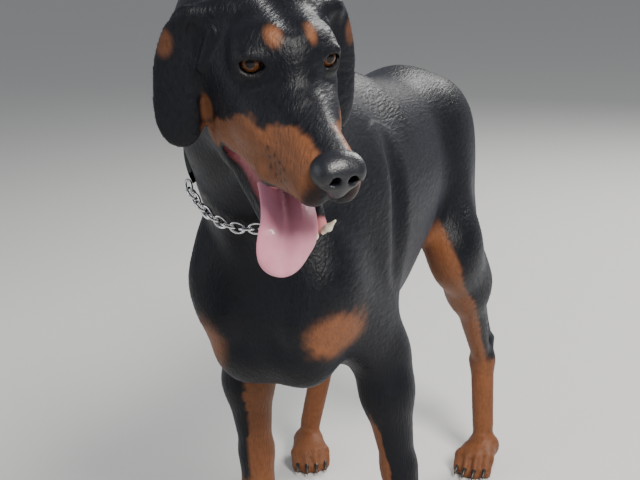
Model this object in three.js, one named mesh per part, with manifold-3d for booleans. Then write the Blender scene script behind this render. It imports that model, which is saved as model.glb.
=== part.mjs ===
import * as THREE from "three";
import Module from "manifold-3d";
import { mergeVertices } from "three/addons/utils/BufferGeometryUtils.js";

// A life-size male doberman pinscher, standing, its head turned to its left and panting.
// Millimetres. +X is the dog's left, +Y points to its tail and +Z is up.

const wasm = await Module();
wasm.setup();
const { sin, cos, min, max, abs, sqrt, hypot } = Math;
const V = (x, y, z) => new THREE.Vector3(x, y, z);
const RIGHT = -1;
const LEFT = 1;
const SIDES = [RIGHT, LEFT];
const SIDE_NAME = { [RIGHT]: "right", [LEFT]: "left" };

// Driving dimensions
const ELBOW_HEIGHT = 366;
const CARPUS_HEIGHT = 138;
const HOCK_HEIGHT = 172;
const GAP = 0.3;

// Pose of the head: where the point between the eyes is, and how it is turned
const HEAD_AT = V(103, -284, 755);
const HEAD_YAW = 43.5;
const HEAD_PITCH = -24;
const HEAD_ROLL = 1;
const GAPE = 26;

const rad = THREE.MathUtils.degToRad;

// Smooth joining of two distances over a width k
function blendMin(a, b, k) {
  const h = max(k - abs(a - b), 0) / k;
  return min(a, b) - h * h * k * 0.25;
}

// An ellipsoid: centre, three radii and an optional turn in degrees about x, y and z
function ball(c, r, turn = [0, 0, 0]) {
  const q = new THREE.Matrix4().makeRotationFromEuler(
    new THREE.Euler(...turn.map(rad), "ZYX"),
  );
  const m = q.transpose().elements;
  const [rx, ry, rz] = r;
  return {
    centre: c,
    reach: max(rx, ry, rz),
    far(x, y, z) {
      const dx = x - c.x;
      const dy = y - c.y;
      const dz = z - c.z;
      const px = (m[0] * dx + m[4] * dy + m[8] * dz) / rx;
      const py = (m[1] * dx + m[5] * dy + m[9] * dz) / ry;
      const pz = (m[2] * dx + m[6] * dy + m[10] * dz) / rz;
      const k0 = hypot(px, py, pz);
      const k1 = hypot(px / rx, py / ry, pz / rz);
      return k1 < 1e-9 ? -min(rx, ry, rz) : (k0 * (k0 - 1)) / k1;
    },
  };
}

// A rounded limb from a to b whose radius goes from ra to rb, scaled by s across the direction n
function limb(a, b, ra, rb, n = V(1, 0, 0), s = 1) {
  const side = n.clone().normalize();
  const squeeze = (p) =>
    p.clone().addScaledVector(side, p.clone().sub(a).dot(side) * (1 / s - 1));
  const end = squeeze(b);
  const ba = end.clone().sub(a);
  const l2 = ba.lengthSq();
  const rr = ra - rb;
  const a2 = l2 - rr * rr;
  const il2 = 1 / l2;
  const scale = min(1, s);
  return {
    centre: a.clone().add(b).multiplyScalar(0.5),
    reach: a.distanceTo(b) / 2 + max(ra, rb) * max(1, s),
    far(x, y, z) {
      let px = x - a.x;
      let py = y - a.y;
      let pz = z - a.z;
      const along = (px * side.x + py * side.y + pz * side.z) * (1 / s - 1);
      px += side.x * along;
      py += side.y * along;
      pz += side.z * along;
      const t = px * ba.x + py * ba.y + pz * ba.z;
      const w = t - l2;
      const ux = px * l2 - ba.x * t;
      const uy = py * l2 - ba.y * t;
      const uz = pz * l2 - ba.z * t;
      const x2 = ux * ux + uy * uy + uz * uz;
      const y2 = t * t * l2;
      const z2 = w * w * l2;
      const k = Math.sign(rr) * rr * rr * x2;
      if (Math.sign(w) * a2 * z2 > k) return (sqrt(x2 + z2) * il2 - rb) * scale;
      if (Math.sign(t) * a2 * y2 < k) return (sqrt(x2 + y2) * il2 - ra) * scale;
      return ((sqrt(x2 * a2 * il2) + t * rr) * il2 - ra) * scale;
    },
  };
}

// A body made of forms that flow into one another; where(p) may carry points into its own frame
class Flesh {
  constructor(into = null) {
    this.steps = [];
    this.m = into ? into.clone().invert().elements : null;
  }
  add(form, k = 20) {
    this.steps.push({ form, k, cut: false });
    return this;
  }
  cut(form, k = 8) {
    this.steps.push({ form, k, cut: true });
    return this;
  }
  far(x, y, z) {
    if (this.m) {
      const m = this.m;
      const X = m[0] * x + m[4] * y + m[8] * z + m[12];
      const Y = m[1] * x + m[5] * y + m[9] * z + m[13];
      z = m[2] * x + m[6] * y + m[10] * z + m[14];
      x = X;
      y = Y;
    }
    let d = 1e6;
    for (const { form, k, cut } of this.steps) {
      const c = form.centre;
      const away = c ? hypot(x - c.x, y - c.y, z - c.z) - form.reach : -1e6;
      if (cut) {
        if (away > -d + k) continue;
        d = -blendMin(-d, form.far(x, y, z), k);
      } else {
        if (away > d + k) continue;
        d = blendMin(d, form.far(x, y, z), k);
      }
    }
    return d;
  }
}

// The closed surface of a field inside a box, as a net of quads with one vertex to a cell
function skin(field, low, high, step, level = 0) {
  const n = [0, 1, 2].map((i) =>
    Math.ceil((high.getComponent(i) - low.getComponent(i)) / step.getComponent(i)) + 1,
  );
  const [nx, ny, nz] = n;
  const at = (i, j, k) => (k * ny + j) * nx + i;
  const value = new Float32Array(nx * ny * nz);
  for (let k = 0; k < nz; k++)
    for (let j = 0; j < ny; j++)
      for (let i = 0; i < nx; i++) {
        const edge = i * j * k === 0 || i === nx - 1 || j === ny - 1 || k === nz - 1;
        const d =
          field.far(low.x + i * step.x, low.y + j * step.y, low.z + k * step.z) - level;
        value[at(i, j, k)] = edge ? max(d, 0.5) : d || 1e-6;
      }
  const places = [];
  const cell = new Int32Array(nx * ny * nz).fill(-1);
  for (let k = 0; k < nz - 1; k++)
    for (let j = 0; j < ny - 1; j++)
      for (let i = 0; i < nx - 1; i++) {
        const sum = [0, 0, 0];
        let crossings = 0;
        for (let axis = 0; axis < 3; axis++)
          for (let e = 0; e < 4; e++) {
            const o = [0, 0, 0];
            o[(axis + 1) % 3] = e & 1;
            o[(axis + 2) % 3] = e >> 1;
            const v0 = value[at(i + o[0], j + o[1], k + o[2])];
            const p = [...o];
            p[axis] = 1;
            const v1 = value[at(i + p[0], j + p[1], k + p[2])];
            if (v0 < 0 === v1 < 0) continue;
            o[axis] = v0 / (v0 - v1);
            sum[0] += o[0];
            sum[1] += o[1];
            sum[2] += o[2];
            crossings++;
          }
        if (!crossings) continue;
        cell[at(i, j, k)] = places.length / 3;
        places.push(
          low.x + (i + sum[0] / crossings) * step.x,
          low.y + (j + sum[1] / crossings) * step.y,
          low.z + (k + sum[2] / crossings) * step.z,
        );
      }
  const faces = [];
  const quad = (a, b, c, d, flip) => {
    const P = [a, b, c, d].map((v) => V(places[3 * v], places[3 * v + 1], places[3 * v + 2]));
    const other = P[0].distanceTo(P[2]) > P[1].distanceTo(P[3]);
    const tris = other ? [[a, b, d], [b, c, d]] : [[a, b, c], [a, c, d]];
    for (const [p, q, r] of tris) faces.push(...(flip ? [p, r, q] : [p, q, r]));
  };
  for (let k = 0; k < nz - 1; k++)
    for (let j = 0; j < ny - 1; j++)
      for (let i = 0; i < nx - 1; i++) {
        const here = [i, j, k];
        const inside = value[at(i, j, k)] < 0;
        for (let axis = 0; axis < 3; axis++) {
          const b = (axis + 1) % 3;
          const c = (axis + 2) % 3;
          const next = [...here];
          next[axis]++;
          if (!here[b] || !here[c] || inside === value[at(...next)] < 0) continue;
          const ring = [[1, 1], [0, 1], [0, 0], [1, 0]].map(([db, dc]) => {
            const o = [...here];
            o[b] -= db;
            o[c] -= dc;
            return cell[at(...o)];
          });
          quad(...ring, !inside);
        }
      }
  const g = new THREE.BufferGeometry();
  g.setAttribute("position", new THREE.Float32BufferAttribute(places, 3));
  g.setIndex(faces);
  return g;
}

// Solids for cutting and joining
function solid(geometry) {
  const g = geometry.clone();
  for (const name of Object.keys(g.attributes)) if (name !== "position") g.deleteAttribute(name);
  const merged = mergeVertices(g, 1e-4);
  return new wasm.Manifold(
    new wasm.Mesh({
      numProp: 3,
      vertProperties: merged.attributes.position.array,
      triVerts: new Uint32Array(merged.index.array),
    }),
  );
}

function geometryOf(manifold) {
  const { vertProperties, triVerts } = manifold.getMesh();
  const g = new THREE.BufferGeometry();
  g.setAttribute("position", new THREE.BufferAttribute(vertProperties, 3));
  g.setIndex(new THREE.BufferAttribute(triVerts, 1));
  return g;
}

// The largest closed piece of a solid, without sealed hollows
function largest(manifold) {
  const pieces = manifold.decompose();
  return pieces.reduce((a, b) => (b.volume() > a.volume() ? b : a));
}

const join = (pieces) => pieces.reduce((a, b) => a.add(b));

// A big block on the side of a plane that its normal points to, kept half a gap off the plane
function beyond(point, normal, off = GAP / 2, size = 1600) {
  const box = new THREE.BoxGeometry(size, size, size);
  const n = normal.clone().normalize();
  const turn = new THREE.Quaternion().setFromUnitVectors(V(0, 0, 1), n);
  const c = point.clone().addScaledVector(n, size / 2 + off);
  return solid(box.applyMatrix4(new THREE.Matrix4().compose(c, turn, V(1, 1, 1))));
}

// Coat, skin and horn
const finish = (color, roughness, metalness = 0) =>
  new THREE.MeshStandardMaterial({ color, roughness, metalness });
const MATERIAL = {
  coat: finish(0x14141a, 0.55),
  rust: finish(0x8a4a2a, 0.65),
  nose: finish(0x17181c, 0.4),
  tongue: finish(0xd5869f, 0.4),
  tooth: finish(0xe8e0cc, 0.3),
  eye: finish(0x6b3a1c, 0.1),
  claw: finish(0x1c1a18, 0.45),
  strap: finish(0x0e0e10, 0.6),
  steel: finish(0xb9bcc2, 0.25, 1),
};

// Where two folds of one surface touch at a point or along an edge, draws them a hair apart
function apart(geometry, by = 0.04) {
  const p = geometry.attributes.position;
  const corners = geometry.index.array;
  const here = new Map();
  for (let i = 0; i < p.count; i++) {
    const key = [p.getX(i), p.getY(i), p.getZ(i)].map((x) => Math.round(x * 500)).join();
    here.set(key, [...(here.get(key) ?? []), i]);
  }
  const shared = new Map();
  for (const ids of here.values())
    if (ids.length > 1) for (const i of ids) shared.set(i, { sum: V(0, 0, 0), n: 0 });
  for (let c = 0; c < corners.length; c++) {
    const mean = shared.get(corners[c]);
    if (!mean) continue;
    const first = c - (c % 3);
    for (let k = 0; k < 3; k++) mean.sum.add(new THREE.Vector3().fromBufferAttribute(p, corners[first + k]));
    mean.n += 3;
  }
  for (const [i, { sum, n }] of shared) {
    const at = new THREE.Vector3().fromBufferAttribute(p, i);
    const toward = sum.divideScalar(n).sub(at).setLength(by);
    p.setXYZ(i, at.x + toward.x, at.y + toward.y, at.z + toward.z);
  }
  return geometry;
}

const dog = new THREE.Group();
const made = new Map();
function node(name, manifold, material) {
  const body = largest(solid(geometryOf(largest(manifold))));
  const mesh = new THREE.Mesh(apart(geometryOf(body)), MATERIAL[material]);
  mesh.name = name;
  made.set(name, body);
  dog.add(mesh);
}

// What is left of a solid beside the nodes it grows from
const beside = (manifold, ...names) => names.reduce((m, n) => m.subtract(made.get(n)), manifold);

// The head's own frame: x to its left, y back, z up, from the point between the eyes
const HEAD = new THREE.Matrix4().compose(
  HEAD_AT,
  new THREE.Quaternion()
    .setFromAxisAngle(V(0, 0, 1), rad(HEAD_YAW))
    .multiply(new THREE.Quaternion().setFromAxisAngle(V(1, 0, 0), rad(-HEAD_PITCH)))
    .multiply(new THREE.Quaternion().setFromAxisAngle(V(0, 1, 0), rad(HEAD_ROLL))),
  V(1, 1, 1),
);
const headPoint = (x, y, z) => V(x, y, z).applyMatrix4(HEAD);

// The lower jaw swings about the hinge below and behind the eyes
const HINGE = V(0, 48, -28);
const swing = rad(GAPE);
function jawPoint(x, y, z) {
  const dy = y - HINGE.y;
  const dz = z - HINGE.z;
  return V(x, HINGE.y + dy * cos(swing) - dz * sin(swing), HINGE.z + dy * sin(swing) + dz * cos(swing));
}

const EYE_R = 11.5;
const eyeAt = (s) => V(s * 35, -8, 0);

// Skull, muzzle, cheeks, lips and lower jaw as one flesh, in the head's frame
function headFlesh() {
  const f = new Flesh(HEAD);
  for (const s of SIDES) {
    f.add(ball(V(s * 18, 56, 2), [33, 66, 36]), 20);
    f.add(ball(V(s * 39, 30, -20), [17, 44, 22]), 18);
    f.add(ball(V(s * 34, 44, -46), [21, 36, 36]), 18);
    f.add(limb(V(s * 18, -8, 21), V(s * 37, 4, 18), 11, 9), 12);
    f.add(limb(V(s * 17, -24, -50), V(s * 14, -106, -46), 17, 15), 16);
    f.add(limb(V(s * 32, 12, -76), V(s * 24, -56, -74), 12, 11), 14);
    f.add(limb(V(s * 24, -56, -74), V(s * 13, -112, -60), 11, 10), 10);
    f.add(ball(V(s * 34, 18, -84), [11, 26, 24]), 14);
    f.add(ball(V(s * 27, -14, -42), [20, 40, 30]), 20);
  }
  f.add(limb(V(0, 86, 14), V(0, 114, 16), 24, 15), 20);
  f.add(ball(V(0, 2, 10), [30, 40, 24]), 16);
  f.add(limb(V(0, -12, -25), V(0, -110, -25), 21, 17), 14);
  f.add(limb(V(0, 60, -60), V(0, 110, -30), 40, 58), 30);
  for (const s of SIDES) {
    f.add(limb(jawPoint(s * 29, 12, -76), jawPoint(s * 12, -104, -72), 15, 11), 14);
    f.add(limb(jawPoint(s * 30, -14, -62), jawPoint(s * 15, -106, -60), 7, 6), 6);
  }
  f.add(ball(jawPoint(0, -108, -72), [20, 15, 12], [-GAPE, 0, 0]), 10);
  f.add(ball(jawPoint(0, -40, -82), [24, 70, 12], [-GAPE, 0, 0]), 16);
  f.cut(limb(V(0, 4, -82), V(0, -104, -76), 21, 14), 6);
  f.cut(limb(jawPoint(0, 24, -52), jawPoint(0, -92, -54), 19, 12), 6);
  for (const s of SIDES) {
    const e = eyeAt(s);
    f.add(ball(V(e.x - s * 1, e.y + 2, e.z), [16, 15, 14]), 10);
  }
  return f;
}

// The nose leather, with the nostrils and the groove between them, in the head's frame
function noseFlesh() {
  const f = new Flesh();
  f.add(ball(V(0, -116, -20), [20, 18, 15]), 6);
  f.add(ball(V(0, -122, -34), [10, 10, 14]), 8);
  for (const s of SIDES) {
    f.add(ball(V(s * 12, -120, -20), [9, 13, 11]), 6);
    f.cut(limb(V(s * 8, -137, -22), V(s * 19, -128, -27), 5, 3), 3);
  }
  return f;
}

// A drop ear: it leaves the side of the skull, folds over and hangs away from the cheek
function earFlesh(s) {
  const f = new Flesh();
  const facing = V(-s * 0.42, 0.9, 0.1);
  const line = [V(s * 60, 58, 12), V(s * 68, 50, -32), V(s * 66, 38, -76), V(s * 61, 28, -98)];
  const half = [19, 27, 21, 9];
  f.add(limb(V(s * 40, 52, 18), V(s * 63, 55, 17), 15, 14), 8);
  for (let i = 0; i < 3; i++)
    f.add(limb(line[i], line[i + 1], half[i], half[i + 1], facing, 0.24), 10);
  f.cut(limb(V(s * 62, 36, 0), V(s * 68, 30, -46), 8, 14), 8);
  return f;
}

// The tongue, from the floor of the mouth over the lower incisors and down
const TONGUE = [V(0, 14, -94), V(-3, -54, -104), V(-8, -86, -113), V(-12, -99, -127), V(-16, -105, -152)];
const TONGUE_R = [7, 8, 7, 6.5, 6];
function tongueFlesh() {
  const f = new Flesh();
  const broad = [2.4, 3, 3.6, 4.1];
  broad.forEach((w, i) => {
    f.add(limb(TONGUE[i], TONGUE[i + 1], TONGUE_R[i], TONGUE_R[i + 1], V(1, 0, 0), w), 8);
  });
  f.cut(limb(V(-6, -90, -101), V(-16, -117, -148), 4.5, 3), 6);
  return f;
}

// Lower canines and incisors
const canineFlesh = (s) =>
  new Flesh().add(limb(jawPoint(s * 18, -109, -64), jawPoint(s * 21, -113, -44), 4.6, 1.6), 1);
function incisorFlesh() {
  const f = new Flesh();
  f.add(limb(jawPoint(-11, -115, -59), jawPoint(11, -115, -59), 4, 4), 2);
  for (let i = -2.5; i < 3; i++)
    f.add(ball(jawPoint(i * 4.3, -117 + i * i * 0.5, -54), [2.3, 2.3, 5.5], [-GAPE, 0, 0]), 1.5);
  return f;
}

const NECK = [V(0, 20, 590), V(2, -75, 640), V(14, -150, 705), V(32, -206, 768)];
const NECK_R = [100, 88, 74, 66];
function neckFlesh(f) {
  for (let i = 0; i < 3; i++)
    f.add(limb(NECK[i], NECK[i + 1], NECK_R[i], NECK_R[i + 1], V(1, 0, 0), 0.84), 30);
  f.add(limb(V(0, -105, 545), V(20, -205, 690), 50, 40), 40);
}

function torsoFlesh(f) {
  f.add(ball(V(0, 120, 524), [104, 215, 160]), 30);
  f.add(ball(V(0, -20, 507), [82, 120, 145]), 40);
  f.add(ball(V(0, 290, 530), [88, 165, 116]), 50);
  f.add(limb(V(0, 180, 612), V(0, 380, 606), 60, 54, V(1, 0, 0), 1.1), 40);
  f.add(ball(V(0, 420, 594), [70, 105, 76]), 40);
  f.add(limb(V(0, -30, 660), V(0, 130, 648), 46, 44, V(1, 0, 0), 0.8), 40);
  f.add(ball(V(0, -98, 480), [58, 60, 82]), 36);
  f.add(limb(V(0, -85, 429), V(0, 90, 404), 50, 50), 40);
  for (const s of SIDES) f.add(ball(V(s * 36, -102, 434), [40, 46, 58]), 22);
  f.add(limb(V(0, 240, 408), V(0, 325, 412), 14, 15), 20);
}

// Where each leg's joints are; the pose differs from side to side
const FORE = {
  [RIGHT]: {
    blade: V(-58, 0, 630),
    point: V(-70, -98, 495),
    elbow: V(-86, 14, ELBOW_HEIGHT),
    carpus: V(-86, 4, CARPUS_HEIGHT),
    paw: V(-86, -28, 34),
  },
  [LEFT]: {
    blade: V(58, 0, 630),
    point: V(72, -94, 495),
    elbow: V(86, 16, ELBOW_HEIGHT),
    carpus: V(112, 10, CARPUS_HEIGHT),
    paw: V(117, -20, 34),
  },
};
const HIND = {
  [RIGHT]: {
    hip: V(-58, 430, 560),
    knee: V(-112, 322, 412),
    hock: V(-164, 470, HOCK_HEIGHT),
    paw: V(-186, 432, 32),
    toeOut: 24,
  },
  [LEFT]: {
    hip: V(52, 440, 560),
    knee: V(96, 350, 410),
    hock: V(98, 520, HOCK_HEIGHT),
    paw: V(102, 486, 32),
    toeOut: -6,
  },
};

function foreFlesh(f, s) {
  const { blade, point, elbow, carpus, paw } = FORE[s];
  f.add(limb(blade, point, 40, 40, V(1, 0, 0), 0.7), 30);
  const armpit = V(elbow.x - s * 6, elbow.y + 6, elbow.z + 40);
  f.add(limb(V(s * 70, 30, 560), armpit, 58, 38, V(1, 0, 0), 0.62), 34);
  f.add(limb(point, elbow, 40, 36, V(1, 0, 0), 0.8), 30);
  const bulge = elbow.clone().lerp(carpus, 0.16).add(V(s * 2, -8, 0));
  const mid = elbow.clone().lerp(carpus, 0.6);
  f.add(limb(elbow, bulge, 34, 35, V(1, 0, 0), 0.85), 24);
  f.add(limb(bulge, mid, 34, 22, V(1, 0, 0), 0.88), 16);
  f.add(limb(mid, carpus, 22, 23), 14);
  f.add(ball(V(elbow.x, elbow.y + 28, elbow.z + 2), [15, 19, 22]), 14);
  f.add(limb(carpus, V(paw.x, paw.y + 6, paw.z + 22), 23, 22), 12);
}

// A paw's four toes: how far out each is, and how far it reaches beyond the outer ones
const TOES = [[-19, 0], [-6.5, 9], [6.5, 9], [19, 0]];
function pawFrame(paw, toeOut, scale) {
  const turn = new THREE.Matrix4().makeRotationZ(rad(toeOut));
  return (x, y, z) =>
    V(x * scale, y * scale, z * scale).applyMatrix4(turn).add(V(paw.x, paw.y, 0));
}

function pawFlesh(f, at, scale) {
  f.add(limb(at(0, 12, 30), at(0, -14, 30), 26 * scale, 24 * scale, V(1, 0, 0), 1.15), 14);
  f.add(ball(at(0, -14, 8), [24 * scale, 22 * scale, 13]), 8);
  for (const [x, reach] of TOES) {
    f.add(ball(at(x * 1.25, -48 - reach, 8), [10 * scale, 14 * scale, 13]), 6);
    const knuckle = at(x * 1.25, -40 - reach, 30);
    f.add(limb(at(x * 0.9, -16, 32), knuckle, 13 * scale, 12.5 * scale), 7);
    f.add(limb(knuckle, at(x * 1.3, -55 - reach, 14), 12 * scale, 11 * scale), 4);
  }
}

function hindFlesh(f, s) {
  const { hip, knee, hock, paw } = HIND[s];
  f.add(limb(hip, knee, 78, 46, V(1, 0, 0), 0.6), 34);
  const haunch = V(s * 40, 496, 568);
  f.add(limb(haunch, knee.clone().lerp(hock, 0.3).add(V(0, 40, 0)), 46, 30, V(1, 0, 0), 0.8), 36);
  f.add(ball(V(s * 50, 440, 545), [42, 82, 88]), 30);
  const calf = knee.clone().lerp(hock, 0.32).add(V(0, 16, 0));
  f.add(limb(knee, calf, 42, 38, V(1, 0, 0), 0.75), 24);
  f.add(limb(calf, hock, 36, 20, V(1, 0, 0), 0.72), 20);
  const heel = hock.clone().add(V(0, 34, 24));
  f.add(limb(calf.clone().add(V(0, 32, -20)), heel, 17, 11), 14);
  f.add(limb(hock, heel, 19, 13), 10);
  f.add(limb(hock, V(paw.x, paw.y + 14, paw.z + 30), 20, 18), 12);
}

const TAIL = [
  V(0, 498, 622),
  V(-6, 540, 600),
  V(-24, 574, 530),
  V(-52, 594, 450),
  V(-92, 612, 376),
  V(-138, 640, 318),
];
const TAIL_R = [28, 22, 17, 13, 10, 6];
function tailFlesh() {
  const f = new Flesh();
  for (let i = 0; i < TAIL.length - 1; i++)
    f.add(limb(TAIL[i], TAIL[i + 1], TAIL_R[i], TAIL_R[i + 1]), 8);
  return f;
}

const PAWS = {};
const body = new Flesh();
torsoFlesh(body);
neckFlesh(body);
for (const s of SIDES) {
  foreFlesh(body, s);
  hindFlesh(body, s);
  const side = SIDE_NAME[s];
  PAWS["fore_" + side] = { at: pawFrame(FORE[s].paw, 0, 1), scale: 1 };
  PAWS["hind_" + side] = { at: pawFrame(HIND[s].paw, HIND[s].toeOut, 0.92), scale: 0.92 };
}
for (const paw of Object.values(PAWS)) pawFlesh(body, paw.at, paw.scale);
body.add(limb(TAIL[0], V(-2, 520, 612), 27, 22), 30);
const face = headFlesh();
const whole = { far: (x, y, z) => blendMin(body.far(x, y, z), face.far(x, y, z), 26) };

// The thin cuts that part the body
const UP = V(0, 0, 1);
const DOWN = V(0, 0, -1);
const FRONT = V(0, -1, 0);
const BACK = V(0, 1, 0);
const FLOOR = [V(0, 0, -GAP / 2), UP];
const neckCut = headPoint(0, 96, -30);
const toHead = headPoint(0, 0, 0).sub(headPoint(0, 82, -50));
const neckBase = V(0, -62, 640);
const toNeck = V(0.06, -0.78, 0.62);
const jawCut = headPoint(0, 0, -90);
const toJaw = headPoint(0, 0, 0).sub(headPoint(0, -7, 100));
const WRIST = CARPUS_HEIGHT + 6;
const KNEE_CUT = 372;
const ANKLE = HOCK_HEIGHT - 20;
const FORE_ROOM = { x: 42, cuts: [[V(0, 0, 398), DOWN], [V(0, 82, 0), FRONT], [V(0, -66, 0), BACK]] };
const HIND_ROOM = { x: 16, cuts: [[V(0, 335, 440), V(0, 0.61, -0.79)]] };

const flip = (n) => n.clone().negate();
const skinOf = (field, [low, high, step], level = 0) =>
  solid(skin(field, V(...low), V(...high), V(...step), level));

// A node's flesh, skinned over a box of its own and cut by planes
function part(box, cuts) {
  let m = skinOf(whole, box);
  for (const [p, n] of cuts) m = m.intersect(beyond(p, n));
  return largest(m);
}

// The room that a leg takes from the trunk, half a gap wider all round than the middle of the cut
function legRoom(s, room) {
  const inner = beyond(V(s * room.x, 0, 0), V(s, 0, 0), -GAP / 2);
  return room.cuts.reduce((m, [p, n]) => m.intersect(beyond(p, n, -GAP / 2)), inner);
}

const TRUNK_BOX = [[-190, -230, 250], [190, 600, 780], [29, 35, 28]];
const NECK_BOX = [[-160, -350, 400], [190, 170, 900], [23, 23, 23]];
const HEAD_BOX = [[-110, -470, 520], [270, -110, 860], [10.2, 10.2, 10.2]];
const raisedFoot = {};
let trunk = part(TRUNK_BOX, [[neckBase, flip(toNeck)]]);
for (const s of SIDES) {
  trunk = trunk.subtract(legRoom(s, FORE_ROOM)).subtract(legRoom(s, HIND_ROOM));
}
node("torso", trunk, "coat");
node("neck", part(NECK_BOX, [[neckCut, flip(toHead)], [neckBase, toNeck]]), "coat");

for (const s of SIDES) {
  const side = SIDE_NAME[s];
  const out = V(s, 0, 0);
  const box = (y0, y1, z0, z1, step) =>
    s > 0 ? [[0, y0, z0], [252, y1, z1], step] : [[-252, y0, z0], [0, y1, z1], step];
  const fore = [[V(s * FORE_ROOM.x, 0, 0), out], ...FORE_ROOM.cuts];
  const hind = [[V(s * HIND_ROOM.x, 0, 0), out], ...HIND_ROOM.cuts];
  const leg = box(-130, 170, 100, 440, [14, 15, 24]);
  node("foreleg_" + side, part(leg, [...fore, [V(0, 0, WRIST), UP]]), "coat");
  const foot = box(-150, 90, -20, 180, [11.3, 11.7, 11]);
  raisedFoot["fore_" + side] = skinOf(whole, foot, GAP);
  node("forefoot_" + side, part(foot, [[V(0, 0, WRIST), DOWN], FLOOR]), "rust");
  const thigh = box(220, 640, 340, 700, [24, 24, 24]);
  node("thigh_" + side, part(thigh, [...hind, [V(0, 0, KNEE_CUT), UP]]), "coat");
  const shank = box(220, 640, 120, 400, [15, 16, 22]);
  const shankCuts = [...hind, [V(0, 0, KNEE_CUT), DOWN], [V(0, 0, ANKLE), UP]];
  node("hindleg_" + side, part(shank, shankCuts), "coat");
  const hindfoot = box(325, 600, -20, 180, [11.3, 11.7, 11]);
  raisedFoot["hind_" + side] = skinOf(whole, hindfoot, GAP);
  node("hindfoot_" + side, part(hindfoot, [[V(0, 0, ANKLE), DOWN], FLOOR]), "rust");
}

// The tail grows from the rump
const rump = skinOf(whole, TRUNK_BOX, GAP);
const tail = skinOf(tailFlesh(), [[-170, 460, 290], [40, 680, 660], [11, 11, 19]]);
node("tail", beside(tail.subtract(rump), "torso", "thigh_left", "thigh_right"), "coat");

// Head and lower jaw, with sockets for the eyes and almond openings between the lids
const placed = (geometry, x, y, z, turn = [0, 0, 0], scale = V(1, 1, 1)) =>
  solid(
    geometry.applyMatrix4(
      HEAD.clone().multiply(
        new THREE.Matrix4().compose(
          V(x, y, z),
          new THREE.Quaternion().setFromEuler(new THREE.Euler(...turn.map(rad))),
          scale,
        ),
      ),
    ),
  );
let skull = skinOf(whole, HEAD_BOX).intersect(beyond(neckCut, toHead));
const headRaised = skinOf(whole, HEAD_BOX, GAP);
for (const s of SIDES) {
  const e = eyeAt(s);
  const ballGeometry = (r) => new THREE.SphereGeometry(r, 14, 8);
  const lids = placed(ballGeometry(1), e.x + s * 6, e.y - 13, e.z, [0, 0, s * 26], V(10, 14, 6.5));
  skull = skull.subtract(placed(ballGeometry(EYE_R + GAP), e.x, e.y, e.z)).subtract(lids);
  node("eye_" + SIDE_NAME[s], placed(ballGeometry(EYE_R), e.x, e.y, e.z), "eye");
}
node("head", skull.intersect(beyond(jawCut, flip(toJaw))), "coat");
node("jaw", skull.intersect(beyond(jawCut, toJaw)), "coat");

// Pieces that grow from the head are skinned in its frame and meet its surface face to face
const onHead = (field, box, level = 0) => {
  const g = skin(field, V(...box[0]), V(...box[1]), V(...box[2]), level);
  return solid(g.applyMatrix4(HEAD));
};
const NOSE_BOX = [[-34, -146, -60], [34, -90, 10], [6, 6, 6]];
const clearOfHead = (m) => beside(m.subtract(headRaised), "head", "jaw");
node("nose", clearOfHead(onHead(noseFlesh(), NOSE_BOX)), "nose");
for (const s of SIDES) {
  const box = [[s * 68 - 48, 0, -118], [s * 68 + 48, 84, 46], [9.6, 4.6, 11]];
  node("ear_" + SIDE_NAME[s], beside(clearOfHead(onHead(earFlesh(s), box)), "neck"), "coat");
}
const TOOTH_BOX = [[-30, -124, -150], [30, -60, -80], [3.2, 3.2, 3.2]];
node("lower_incisors", clearOfHead(onHead(incisorFlesh(), TOOTH_BOX)), "tooth");
for (const s of SIDES) {
  const canine = clearOfHead(onHead(canineFlesh(s), TOOTH_BOX));
  node("lower_canine_" + SIDE_NAME[s], beside(canine, "lower_incisors"), "tooth");
}
const TONGUE_BOX = [[-50, -130, -176], [44, 40, -70], [10, 8, 7]];
let tongue = clearOfHead(onHead(tongueFlesh(), TONGUE_BOX));
for (const tooth of [incisorFlesh(), canineFlesh(RIGHT), canineFlesh(LEFT)])
  tongue = tongue.subtract(onHead(tooth, TOOTH_BOX, GAP));
node("tongue", tongue, "tongue");

// Claws, one to each toe
for (const [name, { at, scale }] of Object.entries(PAWS)) {
  TOES.forEach(([x, reach], i) => {
    const root = at(x * 1.3, -58 - reach, 17);
    const tip = at(x * 1.34, -76 - reach, 6);
    const cone = new THREE.ConeGeometry(5 * scale, root.distanceTo(tip), 7);
    const turn = new THREE.Quaternion().setFromUnitVectors(V(0, 1, 0), tip.clone().sub(root).normalize());
    const middle = root.clone().lerp(tip, 0.5);
    const claw = solid(cone.applyMatrix4(new THREE.Matrix4().compose(middle, turn, V(1, 1, 1))));
    const foot = name.replace("_", "foot_");
    node(`claw_${name}_${i + 1}`, beside(claw.subtract(raisedFoot[name]), foot), "claw");
  });
}

// The collar: where its ring lies, found on the neck's own surface
const COLLAR_AT = V(6, -116, 662);
const COLLAR_UP = V(0.15, -0.7, 0.69).normalize();
const collarRight = V(1, 0, 0).addScaledVector(COLLAR_UP, -COLLAR_UP.x).normalize();
const collarBack = COLLAR_UP.clone().cross(collarRight);
function collarPoint(turn, over) {
  const way = collarRight.clone().multiplyScalar(cos(turn)).addScaledVector(collarBack, sin(turn));
  let r = 40;
  for (let i = 0; i < 60; i++) {
    const p = COLLAR_AT.clone().addScaledVector(way, r);
    r += (over - whole.far(p.x, p.y, p.z)) * 0.8;
  }
  return COLLAR_AT.clone().addScaledVector(way, r);
}
const neckRaised = skinOf(whole, NECK_BOX, GAP);

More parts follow.
